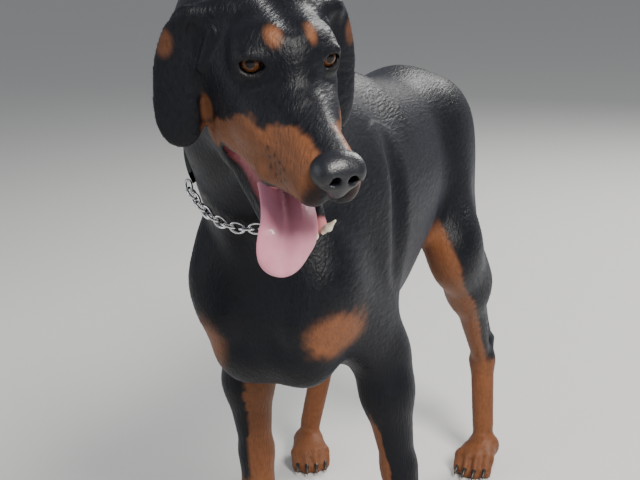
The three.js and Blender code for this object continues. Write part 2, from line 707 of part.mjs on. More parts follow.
// A strap over the nape
const STRAP = { from: rad(-30), to: rad(210), width: 20, thick: 4, under: -1, spans: 26 };
function strapGeometry() {
  const corners = [];
  const faces = [];
  for (let i = 0; i <= STRAP.spans; i++) {
    const turn = STRAP.from + ((STRAP.to - STRAP.from) * i) / STRAP.spans;
    for (const [over, up] of [[0, -1], [1, -1], [1, 1], [0, 1]]) {
      const p = collarPoint(turn, STRAP.under + over * STRAP.thick);
      corners.push(...p.addScaledVector(COLLAR_UP, (up * STRAP.width) / 2).toArray());
    }
    if (!i) continue;
    for (let k = 0; k < 4; k++) {
      const a = 4 * i + k;
      const b = 4 * i + ((k + 1) % 4);
      faces.push(a - 4, a, b, a - 4, b, b - 4);
    }
  }
  const z = 4 * STRAP.spans;
  faces.push(0, 1, 2, 0, 2, 3, z, z + 2, z + 1, z, z + 3, z + 2);
  const g = new THREE.BufferGeometry();
  g.setAttribute("position", new THREE.Float32BufferAttribute(corners, 3));
  g.setIndex(faces);
  return g;
}
const strap = solid(strapGeometry());
node("collar_strap", beside(strap.subtract(neckRaised).subtract(rump), "neck", "torso"), "strap");

// A chain before the throat, its links joined to one another
const LINK = { radius: 6, wire: 1.6, pitch: 9.5, over: 7.5 };
const chainLinks = [];
{
  const first = STRAP.to + rad(4);
  const last = STRAP.from + rad(356);
  const places = [];
  for (let i = 0; i <= 200; i++) places.push(collarPoint(first + ((last - first) * i) / 200, LINK.over));
  const line = new THREE.CatmullRomCurve3(places);
  const count = Math.round(line.getLength() / LINK.pitch);
  for (let i = 0; i <= count; i++) {
    const p = line.getPointAt(i / count);
    const along = line.getTangentAt(i / count);
    const outward = along.clone().cross(COLLAR_UP).normalize();
    const turned = new THREE.Matrix4().makeBasis(along, COLLAR_UP, outward);
    const tilt = new THREE.Matrix4().makeRotationX(i % 2 ? rad(40) : rad(-40));
    const g = new THREE.TorusGeometry(LINK.radius, LINK.wire, 5, 8);
    chainLinks.push(solid(g.applyMatrix4(tilt).applyMatrix4(turned.setPosition(p))));
  }
}
node("collar_chain", beside(join(chainLinks).subtract(neckRaised), "neck", "collar_strap"), "steel");

// The origin is at the middle of the footprint, on the floor
const bounds = new THREE.Box3().setFromObject(dog);
const middle = bounds.getCenter(V(0, 0, 0));
for (const mesh of dog.children) mesh.geometry.translate(-middle.x, -middle.y, -bounds.min.z);

export default dog;
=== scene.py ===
"""A life-size doberman pinscher: skin, short coat, eyes, nose, mouth, claws, collar and a plain studio."""

import math

import bmesh
import bpy
import numpy as np
from bpy.props import FloatProperty, FloatVectorProperty, IntProperty, PointerProperty
from mathutils import Euler, Matrix, Vector


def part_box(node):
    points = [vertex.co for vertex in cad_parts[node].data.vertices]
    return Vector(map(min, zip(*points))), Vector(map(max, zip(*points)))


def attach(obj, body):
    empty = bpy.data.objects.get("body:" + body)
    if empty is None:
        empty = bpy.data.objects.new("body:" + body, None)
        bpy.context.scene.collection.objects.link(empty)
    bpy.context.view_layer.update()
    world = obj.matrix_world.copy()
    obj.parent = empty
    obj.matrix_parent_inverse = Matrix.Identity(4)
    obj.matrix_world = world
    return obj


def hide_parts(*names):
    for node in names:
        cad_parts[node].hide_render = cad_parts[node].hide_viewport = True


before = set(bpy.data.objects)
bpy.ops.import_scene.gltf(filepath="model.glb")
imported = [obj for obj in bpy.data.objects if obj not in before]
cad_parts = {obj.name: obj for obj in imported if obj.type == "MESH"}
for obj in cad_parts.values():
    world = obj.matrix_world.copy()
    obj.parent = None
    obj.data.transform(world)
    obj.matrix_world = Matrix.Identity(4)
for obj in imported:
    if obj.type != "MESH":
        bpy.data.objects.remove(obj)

bl_info = {
    "name": "Standing Dog",
    "version": (1, 0, 0),
    "blender": (4, 5, 0),
    "location": "View3D > Sidebar > Dog",
    "description": "Builds the skin, coat, eyes, mouth, claws, collar and studio of a standing dog",
    "category": "Add Mesh",
}

RIGHT, LEFT = -1, 1
SIDES = (RIGHT, LEFT)
SIDE_NAME = {RIGHT: "right", LEFT: "left"}
# Heights of the joints, the jaw's opening in degrees, and the eyeball, in the sculptor's millimetres
ELBOW, CARPUS, HOCK = 366, 138, 172
GAPE = 26
EYE_R, EYE_X = 11, 32.5
# Middle and reach of the head's coat in the head's frame, and the reach of the head's own forms
HEAD_MIDDLE, HEAD_COAT = (0, 0, -40), 150
HEAD_REACH = 230


def vec(x, y, z):
    return np.array((x, y, z), float)


def unit(v):
    """Rows of v at length one."""
    return v / (np.linalg.norm(v, axis=1)[:, None] + 1e-9)


def turned(degrees, order="XYZ"):
    return np.array(Euler([math.radians(a) for a in degrees], order).to_matrix())


# The head's frame in the sculptor's millimetres: x to its left, y back, z up, from between the eyes
HEAD_AT = vec(103, -284, 755)
HEAD_TURN = (
    np.array(Matrix.Rotation(math.radians(43.5), 3, "Z"))
    @ np.array(Matrix.Rotation(math.radians(24), 3, "X"))
    @ np.array(Matrix.Rotation(math.radians(1), 3, "Y"))
)


def head_point(p):
    """From the head's frame to the sculptor's."""
    return np.asarray(p, float) @ HEAD_TURN.T + HEAD_AT


def in_head(p):
    """From the sculptor's frame to the head's."""
    return (np.asarray(p, float) - HEAD_AT) @ HEAD_TURN


def in_head_coat(p):
    """Which points lie in the head's coat."""
    return np.linalg.norm(in_head(p) - HEAD_MIDDLE, axis=1) < HEAD_COAT


def jaw_point(x, y, z):
    """A point of the closed jaw, once the jaw has dropped."""
    a = math.radians(GAPE)
    dy, dz = y - 48, z + 28
    return vec(x, 48 + dy * math.cos(a) - dz * math.sin(a), -28 + dy * math.sin(a) + dz * math.cos(a))


# Where the sculptor's origin lies in the row's frame, found from the left eye
_low, _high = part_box("eye_left")
SHIFT = np.array((_low + _high) / 2) * 1000 - head_point((35, -8, 0))
EYE_AT = {s: vec(s * EYE_X, -8, 5) for s in SIDES}


def to_frame(p):
    """From the sculptor's millimetres to metres."""
    return (np.asarray(p, float) + SHIFT) / 1000


# Forms: each is (centre, reach, distance function)
def ball(c, r, turn=(0, 0, 0)):
    """An ellipsoid with centre c and half axes r, turned by degrees."""
    c, r = np.asarray(c, float), np.asarray(r, float)
    m = turned(turn)

    def far(p):
        q = (p - c) @ m / r
        k0 = np.sqrt((q * q).sum(1))
        q = q / r
        k1 = np.sqrt((q * q).sum(1)) + 1e-9
        return k0 * (k0 - 1) / k1

    return c, r.max(), far


def limb(a, b, ra, rb, s=1.0):
    """A rounded cone from a to b, made s times as wide from side to side."""
    a, b = np.asarray(a, float), np.asarray(b, float)
    n = vec(1, 0, 0)
    end = b + n * ((b - a) @ n) * (1 / s - 1)
    ba = end - a
    l2 = ba @ ba
    rr = ra - rb
    a2 = l2 - rr * rr
    scale = min(1, s)

    def far(p):
        q = p - a
        q = q + np.outer(q @ n * (1 / s - 1), n)
        t = q @ ba
        w = t - l2
        x = q * l2 - np.outer(t, ba)
        x2 = (x * x).sum(1)
        y2, z2 = t * t * l2, w * w * l2
        k = np.sign(rr) * rr * rr * x2
        side = (np.sqrt(x2 * a2 / l2) + t * rr) / l2 - ra
        low = np.sqrt(x2 + y2) / l2 - ra
        high = np.sqrt(x2 + z2) / l2 - rb
        d = np.where(np.sign(w) * a2 * z2 > k, high, np.where(np.sign(t) * a2 * y2 < k, low, side))
        return d * scale

    return (a + b) / 2, np.linalg.norm(b - a) / 2 + max(ra, rb) * max(1, s), far


def blend(a, b, k):
    """The nearer of two distances, smooth over k."""
    h = np.maximum(k - np.abs(a - b), 0) / k
    return np.minimum(a, b) - h * h * k * 0.25


class Flesh:
    """Forms that flow into one another, in the order in which they are laid on."""

    def __init__(self, on_head=False):
        self.steps = []
        self.on_head = on_head

    def add(self, form, k=20):
        self.steps.append((form, k, False))

    def cut(self, form, k=8):
        self.steps.append((form, k, True))

    def far(self, p):
        if self.on_head:
            p = in_head(p)
        d = np.full(len(p), 1e4)
        for (c, reach, form), k, cut in self.steps:
            away = np.sqrt(((p - c) ** 2).sum(1)) - reach
            if cut:
                near = np.nonzero(away <= -d + k)[0]
                if len(near):
                    d[near] = -blend(-d[near], form(p[near]), k)
            else:
                near = np.nonzero(away <= d + k)[0]
                if len(near):
                    d[near] = blend(d[near], form(p[near]), k)
        return d


# The opening between the lips behind the tongue, wider towards the front
MOUTH_SLIT = {s: limb((s * 39, 6, -87), (s * 29, -56, -101), 4, 11) for s in SIDES}


def head_flesh():
    """Skull, muzzle, jaw, ears, the mouth's hollow and the lids, in the head's frame."""
    f = Flesh(True)
    for s in SIDES:
        f.add(ball((s * 18, 56, 2), (33, 66, 36)), 20)
        f.add(ball((s * 39, 30, -20), (17, 44, 22)), 18)
        f.add(ball((s * 34, 44, -46), (21, 36, 36)), 18)
        f.add(limb((s * 16, -3, 20), (s * 34, 6, 16), 10, 9), 20)
        f.add(limb((s * 17, -24, -50), (s * 14, -112, -50), 17, 15), 16)
        f.add(limb((s * 32, 12, -76), (s * 24, -56, -74), 12, 11), 14)
        f.add(limb((s * 24, -56, -74), (s * 13, -117, -58), 11, 10), 10)
        f.add(ball((s * 34, 18, -84), (11, 26, 24)), 14)
        f.add(ball((s * 27, -14, -42), (20, 40, 30)), 20)
    f.add(limb((0, 86, 14), (0, 114, 16), 24, 15), 20)
    f.add(ball((0, 4, 9), (30, 35, 24)), 20)
    f.add(limb((0, -12, -8), (0, -46, -21), 19, 17), 24)
    for s in SIDES:
        f.add(limb((s * 8, -12, -25), (s * 8, -114, -34), 18, 14), 14)
    f.add(limb((0, 60, -60), (0, 110, -30), 40, 58), 30)
    for s in SIDES:
        f.add(limb(jaw_point(s * 29, 12, -76), jaw_point(s * 14, -104, -72), 15, 11), 14)
        f.add(limb(jaw_point(s * 30, -14, -62), jaw_point(s * 20, -107, -61), 7, 7), 6)
    f.add(ball(jaw_point(0, -108, -72), (20, 15, 12), (-GAPE, 0, 0)), 10)
    f.add(ball(jaw_point(0, -40, -82), (24, 70, 12), (-GAPE, 0, 0)), 16)
    # the ear's root, the leaf that hangs from it, the leaf's tip, the folded edge and a hollow
    for s in SIDES:
        f.add(limb((s * 38, 52, 20), (s * 68, 56, 16), 13, 8), 18)
        f.add(ball((s * 78, 47, -33), (22, 5, 56), (-14, 0, s * 25)), 12)
        f.add(ball((s * 74, 35, -78), (16, 5, 20), (-14, s * 14, s * 25)), 16)
        f.add(limb((s * 52, 36, 10), (s * 62, 34, -22), 5, 3), 8)
        f.cut(ball((s * 70, 40, -4), (6, 8, 20), (-14, 0, s * 25)), 4)
    # furrow of the brow, the mouth's roof and floor, and the groove below the nose
    f.cut(limb((0, -2, 40), (0, 50, 44), 4, 6), 16)
    f.cut(limb((0, 4, -82), (0, -104, -76), 21, 14), 6)
    f.cut(limb(jaw_point(0, 24, -52), jaw_point(0, -92, -54), 19, 12), 6)
    f.cut(limb((0, -136, -50), (0, -130, -70), 1, 1), 4)
    for s in SIDES:
        f.cut(MOUTH_SLIT[s], 3)
    for s in SIDES:
        f.add(ball((s * 32, -6, 4), (16, 14.5, 14)), 14)
        f.add(limb((s * 20, -18, 11), (s * 41, -14, 13), 3.2, 3), 8)
        f.add(limb((s * 19, -19, 1), (s * 40, -15, -3), 2.2, 2.2), 8)
        f.cut(ball((s * 37, -21, 5), (10, 14, 5.2), (0, s * 8, s * 24)), 2.5)
        f.cut(ball(EYE_AT[s], (EYE_R + 0.1,) * 3), 1)
    return f


NECK = [(0, 20, 590), (2, -75, 640), (14, -150, 705), (32, -206, 768)]
NECK_R = (100, 88, 74, 66)
FORE = {
    RIGHT: ((-54, 0, 630), (-64, -98, 495), (-86, 14, ELBOW), (-86, 4, CARPUS), (-86, -28, 34)),
    LEFT: ((54, 0, 630), (64, -94, 495), (86, 16, ELBOW), (112, 10, CARPUS), (117, -20, 34)),
}
HIND = {
    RIGHT: ((-58, 430, 560), (-112, 322, 412), (-164, 470, HOCK), (-186, 432, 32), 24),
    LEFT: ((52, 440, 560), (96, 350, 410), (98, 520, HOCK), (102, 486, 32), -6),
}
TAIL = [(0, 498, 622), (-6, 540, 600), (-24, 574, 530), (-52, 594, 450), (-92, 612, 376), (-132, 627, 330)]
TAIL_R = (28, 22, 17, 13, 10, 6)
TOES = ((-19, 0), (-6.5, 9), (6.5, 9), (19, 0))


def mix(a, b, t):
    return np.asarray(a, float) * (1 - t) + np.asarray(b, float) * t


def trunk_forms(f):
    """Ribs, belly, croup, brisket and neck."""
    f.add(ball((0, 120, 524), (104, 215, 160)), 30)
    f.add(ball((0, -20, 507), (82, 120, 145)), 40)
    f.add(ball((0, 290, 530), (88, 165, 116)), 50)
    f.add(limb((0, 180, 612), (0, 380, 606), 60, 54, 1.1), 40)
    f.add(ball((0, 420, 594), (70, 105, 76)), 40)
    f.add(limb((0, -30, 660), (0, 130, 648), 46, 44, 0.8), 40)
    f.add(ball((0, -98, 480), (58, 60, 82)), 36)
    f.add(limb((0, -85, 429), (0, 90, 404), 50, 50), 40)
    for s in SIDES:
        f.add(ball((s * 36, -102, 434), (40, 46, 58)), 22)
    f.add(limb((0, 240, 408), (0, 325, 412), 14, 15), 20)
    for i in range(3):
        f.add(limb(NECK[i], NECK[i + 1], NECK_R[i], NECK_R[i + 1], 0.84), 30)
    f.add(limb((0, -105, 545), (20, -205, 690), 50, 40), 40)
    f.add(limb((-8, -60, 600), (-2, -150, 692), 84, 70, 0.84), 24)


def fore_forms(f, s):
    """Shoulder, upper arm, forearm and pastern of one side."""
    blade, point, elbow, carpus, paw = (np.array(p, float) for p in FORE[s])
    f.add(limb(blade, point, 38, 37, 0.62), 30)
    armpit = elbow + (-s * 6, 6, 40)
    f.add(limb((s * 64, 30, 560), armpit, 56, 37, 0.56), 34)
    f.add(limb(point, elbow, 38, 35, 0.72), 30)
    bulge = mix(elbow, carpus, 0.16) + (s * 2, -8, 0)
    mid = mix(elbow, carpus, 0.6)
    f.add(limb(elbow, bulge, 34, 35, 0.85), 24)
    f.add(limb(bulge, mid, 34, 22, 0.88), 16)
    f.add(limb(mid, carpus, 22, 23), 14)
    f.add(ball(elbow + (0, 28, 2), (15, 19, 22)), 14)
    f.add(limb(carpus, paw + (0, 6, 22), 23, 22), 12)


def hind_forms(f, s):
    """Thigh, stifle, shank, heel and hind pastern of one side."""
    hip, knee, hock, paw = (np.array(p, float) for p in HIND[s][:4])
    f.add(limb(hip, knee, 78, 46, 0.6), 34)
    low = mix(knee, hock, 0.3) + (0, 40, 0)
    f.add(limb((s * 40, 496, 568), low, 46, 30, 0.8), 36)
    f.add(ball((s * 50, 440, 545), (42, 82, 88)), 30)
    calf = mix(knee, hock, 0.32) + (0, 16, 0)
    f.add(limb(knee, calf, 43, 38, 0.75), 44)
    f.add(limb(calf, hock, 36, 20, 0.72), 20)
    heel = hock + (0, 34, 24)
    f.add(limb(calf + (0, 32, -20), heel, 17, 11), 14)
    f.add(limb(hock, heel, 19, 13), 10)
    f.add(limb(hock, paw + (0, 14, 30), 20, 18), 12)


def paws():
    """Name, place, toe-out and size of each foot."""
    for s in SIDES:
        yield "fore_" + SIDE_NAME[s], FORE[s][4], 0, 1.0
        yield "hind_" + SIDE_NAME[s], HIND[s][3], HIND[s][4], 0.92


def paw_place(paw, toe_out, scale):
    """A function from a foot's own places to the sculptor's."""
    m = turned((0, 0, toe_out))
    return lambda x, y, z: m @ vec(x, y, z) * scale + (paw[0], paw[1], 0)


def paw_forms(f, at, k):
    """Foot, pad and four arched toes."""
    f.add(limb(at(0, 12, 30), at(0, -14, 30), 26 * k, 24 * k, 1.15), 14)
    f.add(ball(at(0, -14, 8), (24 * k, 22 * k, 13)), 8)
    for x, reach in TOES:
        f.add(ball(at(x * 1.25, -48 - reach, 8), (10 * k, 14 * k, 13)), 6)
        knuckle = at(x * 1.25, -40 - reach, 30)
        f.add(limb(at(x * 0.9, -16, 32), knuckle, 13 * k, 12.5 * k), 7)
        f.add(limb(knuckle, at(x * 1.3, -55 - reach, 14), 12 * k, 11 * k), 4)
    for x in (-13, 0, 13):
        f.cut(limb(at(x * 1.25, -58, 34), at(x * 1.3, -76, 10), 1.6, 1.6), 7)


def muscle_forms(f):
    """Shallow furrows and ridges over shoulder, ribs, thigh and forearm."""
    for s in SIDES:
        f.cut(limb((s * 104, 62, 610), (s * 112, 40, 480), 8, 8), 40)
        f.cut(limb((s * 16, -170, 520), (s * 20, -158, 440), 4, 4), 26)
        f.add(limb((s * 52, -104, 540), (s * 42, -136, 470), 21, 20), 30)
    f.cut(limb((0, -174, 560), (0, -170, 420), 4, 8), 24)


def whole_flesh():
    """The distance to the dog's surface, as a function of points."""
    body = Flesh()
    trunk_forms(body)
    for s in SIDES:
        fore_forms(body, s)
        hind_forms(body, s)
    muscle_forms(body)
    for _, paw, out, k in paws():
        paw_forms(body, paw_place(paw, out, k), k)
    for i in range(5):
        body.add(limb(TAIL[i], TAIL[i + 1], TAIL_R[i], TAIL_R[i + 1]), 30 if i == 0 else 10)
    face = head_flesh()

    def far(p):
        a, b = body.far(p), np.full(len(p), 1e3)
        near = np.nonzero(((p - head_point((0, 0, -30))) ** 2).sum(1) < HEAD_REACH**2)[0]
        b[near] = face.far(p[near])
        return blend(a, b, 26)

    return far


def ruler(low, high, coarse, fine):
    """Grid lines from low to high, coarse but for a fine stretch."""
    start, stop, step = fine
    lines = [low]
    while lines[-1] < high:
        x = lines[-1]
        inside = start - 6 < x < stop + 6
        near = start - 30 < x < stop + 30
        lines.append(x + (step if inside else (step + coarse) / 2 if near else coarse))
    return np.array(lines)


def net(far, xs, ys, zs, level=0.0, block=8):
    """The closed surface of a field on a rectilinear grid: one vertex a cell, quads that face outward."""
    axes = (xs, ys, zs)
    shape = tuple(len(a) for a in axes)
    value = np.full(shape, 1e3, np.float32)
    starts = [range(0, n, block) for n in shape]
    boxes = [(i, j, k) for i in starts[0] for j in starts[1] for k in starts[2]]
    spans = [[(a[o[d]], a[min(o[d] + block, shape[d]) - 1]) for d, a in enumerate(axes)] for o in boxes]
    spans = np.array(spans)
    centre = spans.mean(2)
    half = np.sqrt(((spans[..., 1] - spans[..., 0]) ** 2).sum(1)) / 2
    d = far(centre) - level
    near = np.abs(d) < half * 1.7 + 8
    points, homes = [], []
    for o, dist, use in zip(boxes, d, near):
        sl = tuple(slice(o[i], min(o[i] + block, shape[i])) for i in range(3))
        if not use:
            value[sl] = dist
            continue
        g = np.stack(np.meshgrid(*(a[s] for a, s in zip(axes, sl)), indexing="ij"), -1)
        points.append(g.reshape(-1, 3))
        homes.append((sl, g.shape[:3]))
    field = far(np.concatenate(points)) - level
    at = 0
    for sl, size in homes:
        n = size[0] * size[1] * size[2]
        value[sl] = field[at : at + n].reshape(size)
        at += n
    value[value == 0] = 1e-6
    cells, places, rings = [], [], []
    stride = (shape[1] * shape[2], shape[2], 1)
    for axis in range(3):
        a = np.moveaxis(value, axis, 0)
        cross = np.argwhere((a[:-1] < 0) != (a[1:] < 0))
        order = [axis] + [d for d in range(3) if d != axis]
        idx = np.empty_like(cross)
        idx[:, order] = cross
        idx2 = idx.copy()
        idx2[:, axis] += 1
        v0, v1 = value[tuple(idx.T)], value[tuple(idx2.T)]
        p = np.stack([axes[d][idx[:, d]] for d in range(3)], 1).astype(float)
        q = axes[axis][idx2[:, axis]]
        p[:, axis] += (v0 / (v0 - v1)) * (q - p[:, axis])
        b, c = (axis + 1) % 3, (axis + 2) % 3
        flat = idx @ np.array(stride)
        ring = [flat - db * stride[b] - dc * stride[c] for db, dc in ((1, 1), (0, 1), (0, 0), (1, 0))]
        for r in ring:
            cells.append(r)
            places.append(p)
        quad = np.stack(ring, 1)
        inside = v0 < 0
        quad[~inside] = quad[~inside][:, ::-1]
        rings.append(quad)
    ids, back = np.unique(np.concatenate(cells), return_inverse=True)
    places = np.concatenate(places)
    count = np.bincount(back)
    verts = np.stack([np.bincount(back, places[:, d]) / count for d in range(3)], 1)
    quads = np.searchsorted(ids, np.concatenate(rings))
    return verts, quads


def largest_piece(verts, quads):
    """Only the biggest connected piece of a net."""
    label = np.arange(len(verts))
    while True:
        low = label[quads].min(1)
        new = label.copy()
        for c in range(4):
            np.minimum.at(new, quads[:, c], low)
        new = new[new]
        if (new == label).all():
            break
        label = new
    keep = np.bincount(label).argmax()
    used = label == keep
    remap = np.cumsum(used) - 1
    return verts[used], remap[quads[used[quads[:, 0]]]]


def make_mesh(name, verts, faces, size, smooth=True):
    """A mesh object in the row's frame from points in metres and equal faces of size corners."""
    me = bpy.data.meshes.new(name)
    faces = np.asarray(faces, np.int32).reshape(-1, size)
    me.vertices.add(len(verts))
    me.vertices.foreach_set("co", np.asarray(verts, np.float32).ravel())
    me.loops.add(faces.size)
    me.loops.foreach_set("vertex_index", faces.ravel())
    me.polygons.add(len(faces))
    me.polygons.foreach_set("loop_start", np.arange(0, faces.size, size, dtype=np.int32))
    me.update(calc_edges=True)
    me.validate()
    if smooth:
        me.shade_smooth()
    ob = bpy.data.objects.new(name, me)
    bpy.context.scene.collection.objects.link(ob)
    return ob


def attribute(ob, name, values):
    """Store one number a vertex, for a material to read."""
    a = ob.data.attributes.new(name, "FLOAT", "POINT")
    a.data.foreach_set("value", np.asarray(values, np.float32))


def step(x, low, high):
    """0 below low, 1 above high, smooth between."""
    t = np.clip((x - low) / (high - low), 0, 1)
    return t * t * (3 - 2 * t)


def spot(p, c, r, soft=0.35):
    """1 inside an ellipsoid round c, 0 outside, with a soft edge."""
    d = np.sqrt((((p - np.asarray(c, float)) / np.asarray(r, float)) ** 2).sum(1))
    return 1 - step(d, 1 - soft, 1 + soft)


def wobble(p, size, amount):
    """A small smooth unevenness, so that no marking has a ruled edge."""
    q = p / size
    a = np.sin(q @ (1.0, 0.7, 1.3)) + np.sin(q @ (-1.7, 1.1, 0.6) + 1.3)
    return (a + np.sin(q @ (0.4, -2.1, 1.9) + 4)) / 3 * amount


def lip_line(y):
    """Height of the upper lip's edge along the head."""
    return np.interp(y, [-118, -98, -56, -10, 20], [-66, -72, -83, -88, -92])


def head_rust(h, w):
    """Rust on the head: brow and cheek spots, muzzle, under the jaw and inside the ears."""
    x, y, z = h.T
    ax = np.abs(x)
    left_brow = spot(h + w[:, None] * 0.3, (15, -9, 26), (6.5, 12, 9))
    right_brow = spot(h, (-17, -9, 26), (8, 12, 9))
    cheeks = [spot(h, (s * 49, 32, -60), (16, 7, 15)) for s in SIDES]
    edge = np.interp(y, [-112, -80, -52, -30, -6, 30, 50], [-20, -17, -32, -29, -52, -72, -86])
    muzzle = step(edge + w - z, -3, 4) * step(ax, 9, 15) * (1 - step(y + w, 26, 34))
    muzzle *= step(z - lip_line(y), -4, 2) * (1 - 0.9 * step(-y - 0.3 * z, 134, 142))
    under = step(-z - 0.25 * y, 118, 128) * (1 - step(y + w, 6, 20)) * (1 - step(ax, 8, 15))
    rust = np.maximum.reduce([left_brow, right_brow, *cheeks, muzzle, under])
    rust *= 1 - step(ax, 56, 62) * (y > 8)
    inner_ear = spot(np.stack([ax, y, z], 1), (89, 54, -7), (7, 12, 12)) * 0.45
    return np.maximum(rust, inner_ear)


def chest_rust(p, w):
    """The two patches on the chest."""
    near = p + w[:, None]
    left = spot(near, (76, -118, 447), (30, 46, 26))
    right = spot(near, (-58, -118, 440), (22, 46, 38))
    return np.maximum(left, right) * (p[:, 1] < -70)


def beside_bone(p, a, b, s, low, high):
    """How far points lie inward of the line from a down to b, and how far in front of it."""
    t = np.clip((a[2] - p[:, 2]) / (a[2] - b[2]), low, high)
    x = a[0] + (b[0] - a[0]) * t
    y = a[1] + (b[1] - a[1]) * t
    return -s * (p[:, 0] - x), y - p[:, 1]


def foreleg_rust(p, w, s):
    """Rust of one foreleg, which reaches higher on its inner side and in front."""
    inward, forward = beside_bone(p, FORE[s][2], FORE[s][3], s, 0, 1.4)
    here = (p[:, 0] * s > 20) & (p[:, 1] < 150) & (p[:, 2] < 400)
    top = (196 if s == RIGHT else 150) + 150 * step(inward + w, -4, 10) - 20 * step(-forward, 0, 12)
    return (1 - step(p[:, 2] + w * 3, top - 8, top + 8)) * here


def hindleg_rust(p, w, s):
    """Rust of one hind leg: a strip down the inner thigh and shank, and all below the hock but a streak."""
    inward, forward = beside_bone(p, HIND[s][1], HIND[s][2], s, -0.6, 1)
    here = (p[:, 0] * s > 8) & (p[:, 1] > 250) & (p[:, 2] < 500)
    reach = 12 - 15 * step(360 - p[:, 2], 0, 60)
    front = step(inward * 0.75 + forward * 0.45 + w - reach, -4, 4)
    low = 1 - step(p[:, 2] + w * 3, HOCK - 12, HOCK + 16)
    streak = step(-forward - inward * 0.5 + w, 8, 14) * step(p[:, 2], 60, 90)
    return np.maximum(front * (1 - step(p[:, 2], 440, 480)), low) * (1 - streak * 0.95) * here


def mouth_marks(h):
    """Dark lips, lids and whisker roots, and the pink lining of the mouth."""
    x, y, z = h.T
    ax = np.abs(x)
    lip = lip_line(y)
    front, back = jaw_point(0, -60, -56), jaw_point(0, 0, -56)
    jaw = np.interp(y, [front[1], back[1]], [front[2], back[2]])
    dark = (1 - step(np.abs(z - lip + 1), 2.5, 6)) * (y < 14) * (ax > 8)
    dark = np.maximum(dark, (1 - step(np.abs(z - jaw), 3, 7)) * (y < -30) * (z < -90))
    mouth = (ax < 19) & (np.abs(z + 92) < 34) & (y < 22) & (y > -96) & (z < lip + 8) & (z > jaw + 2)
    for s in SIDES:
        slit = MOUTH_SLIT[s][2](h)
        rim = (1 - step(np.abs(slit - 2.4), 1.6, 3.2)) * (y < 16) * (y > -80)
        dark = np.maximum.reduce([dark, rim, spot(h, (s * 37, -17, 5), (13, 9, 9), 0.25)])
        for row in range(3):
            for column in range(4):
                root = (s * 30, -62 - 10 * column - 3 * row, -46 - 7.5 * row - column)
                dark = np.maximum(dark, spot(h, root, (16, 1.9, 1.7), 0.5) * 0.85)
        gum = spot(h, jaw_point(s * 20, -106, -58), (7, 9, 6))
        mouth = np.maximum.reduce([mouth, 1 - step(slit, 0.3, 1.4), gum])
    return dark, mouth


def markings(p):
    """Shares of rust, dark skin and mouth lining at points in the sculptor's millimetres."""
    h = in_head(p)
    w = wobble(p, 7, 3) + wobble(p, 2.2, 1.6)
    backward = head_point((0, 1, 0)) - head_point((0, 0, 0))
    on_head = step((head_point((0, 70, -60)) - p) @ backward, -60, -20)
    on_head *= (np.abs(h[:, 0]) < 110) & (h[:, 2] > -190) & (h[:, 1] < 120)
    rust = np.maximum(head_rust(h, w) * on_head, chest_rust(p, w))
    for s in SIDES:
        rust = np.maximum(rust, foreleg_rust(p, w, s))
        paw = FORE[s][4]
        rust *= 1 - 0.5 * spot(p, (paw[0], paw[1] - 62, 36), (30, 16, 9))
        rust = np.maximum(rust, hindleg_rust(p, w, s))
    rust = np.maximum(rust, spot(p, (0, 530, 560), (26, 26, 34)))
    dark, mouth = mouth_marks(h)
    return rust, dark * on_head, mouth * on_head


def flow(p, normal):
    """Which way the coat lies at a point of the skin."""
    h = in_head(p)
    back = vec(0, 1, -0.05) @ HEAD_TURN.T
    along = np.tile(vec(0, 1, -0.5), (len(p), 1))
    legs = step(430 - p[:, 2], 0, 90)[:, None]
    along = along * (1 - legs) + vec(0, 0.15, -1) * legs
    chest = step(-p[:, 1], 60, 120)[:, None] * (1 - legs)
    along = along * (1 - chest) + vec(0, 0.2, -1) * chest
    head = (np.sqrt((h**2).sum(1)) < 130)[:, None]
    along = np.where(head, back, along)
    return unit(along - normal * (along * normal).sum(1)[:, None])


def put(node, **values):
    """Set inputs of a node by name, with _ for a space."""
    for name, value in values.items():
        node.inputs[name.replace("_", " ")].default_value = value


def material(name, base, roughness, metallic=0.0, coat=0.0):
    """A new material with its node tree and its shader."""
    m = bpy.data.materials.new(name)
    m.use_nodes = True
    b = m.node_tree.nodes["Principled BSDF"]
    put(b, Base_Color=(*base, 1), Roughness=roughness, Metallic=metallic, Coat_Weight=coat)
    return m, m.node_tree, b


def noise(tree, scale, stretch=(1, 1, 1), detail=3.0):
    """Noise in the object's own space."""
    co = tree.nodes.new("ShaderNodeTexCoord")
    mp = tree.nodes.new("ShaderNodeMapping")
    put(mp, Scale=stretch)
    n = tree.nodes.new("ShaderNodeTexNoise")
    put(n, Scale=scale, Detail=detail)
    tree.links.new(co.outputs["Object"], mp.inputs["Vector"])
    tree.links.new(mp.outputs["Vector"], n.inputs["Vector"])
    return n.outputs["Fac"]


def mixed(tree, fac, a, b):
    """Colour a run into b by fac, each a value or a socket."""
    n = tree.nodes.new("ShaderNodeMix")
    n.data_type = "RGBA"
    for value, socket in ((fac, n.inputs[0]), (a, n.inputs[6]), (b, n.inputs[7])):
        if isinstance(value, bpy.types.NodeSocket):
            tree.links.new(value, socket)
        else:
            socket.default_value = value if isinstance(value, float) else (*value, 1)
    return n.outputs[2]


def maths(tree, kind, a, b):
    """A sum or the like of two values or sockets."""
    n = tree.nodes.new("ShaderNodeMath")
    n.operation = kind
    for value, socket in ((a, n.inputs[0]), (b, n.inputs[1])):
        if isinstance(value, bpy.types.NodeSocket):
            tree.links.new(value, socket)
        else:
            socket.default_value = value
    return n.outputs[0]


def bumped(tree, bsdf, height, strength, distance):
    """Give a shader a bump from a height socket."""
    n = tree.nodes.new("ShaderNodeBump")
    put(n, Strength=strength, Distance=distance)
    tree.links.new(height, n.inputs["Height"])
    tree.links.new(n.outputs["Normal"], bsdf.inputs["Normal"])


def marked(tree, name):
    """A share that is stored on the mesh."""
    n = tree.nodes.new("ShaderNodeAttribute")
    n.attribute_name = name
    return n.outputs["Fac"]


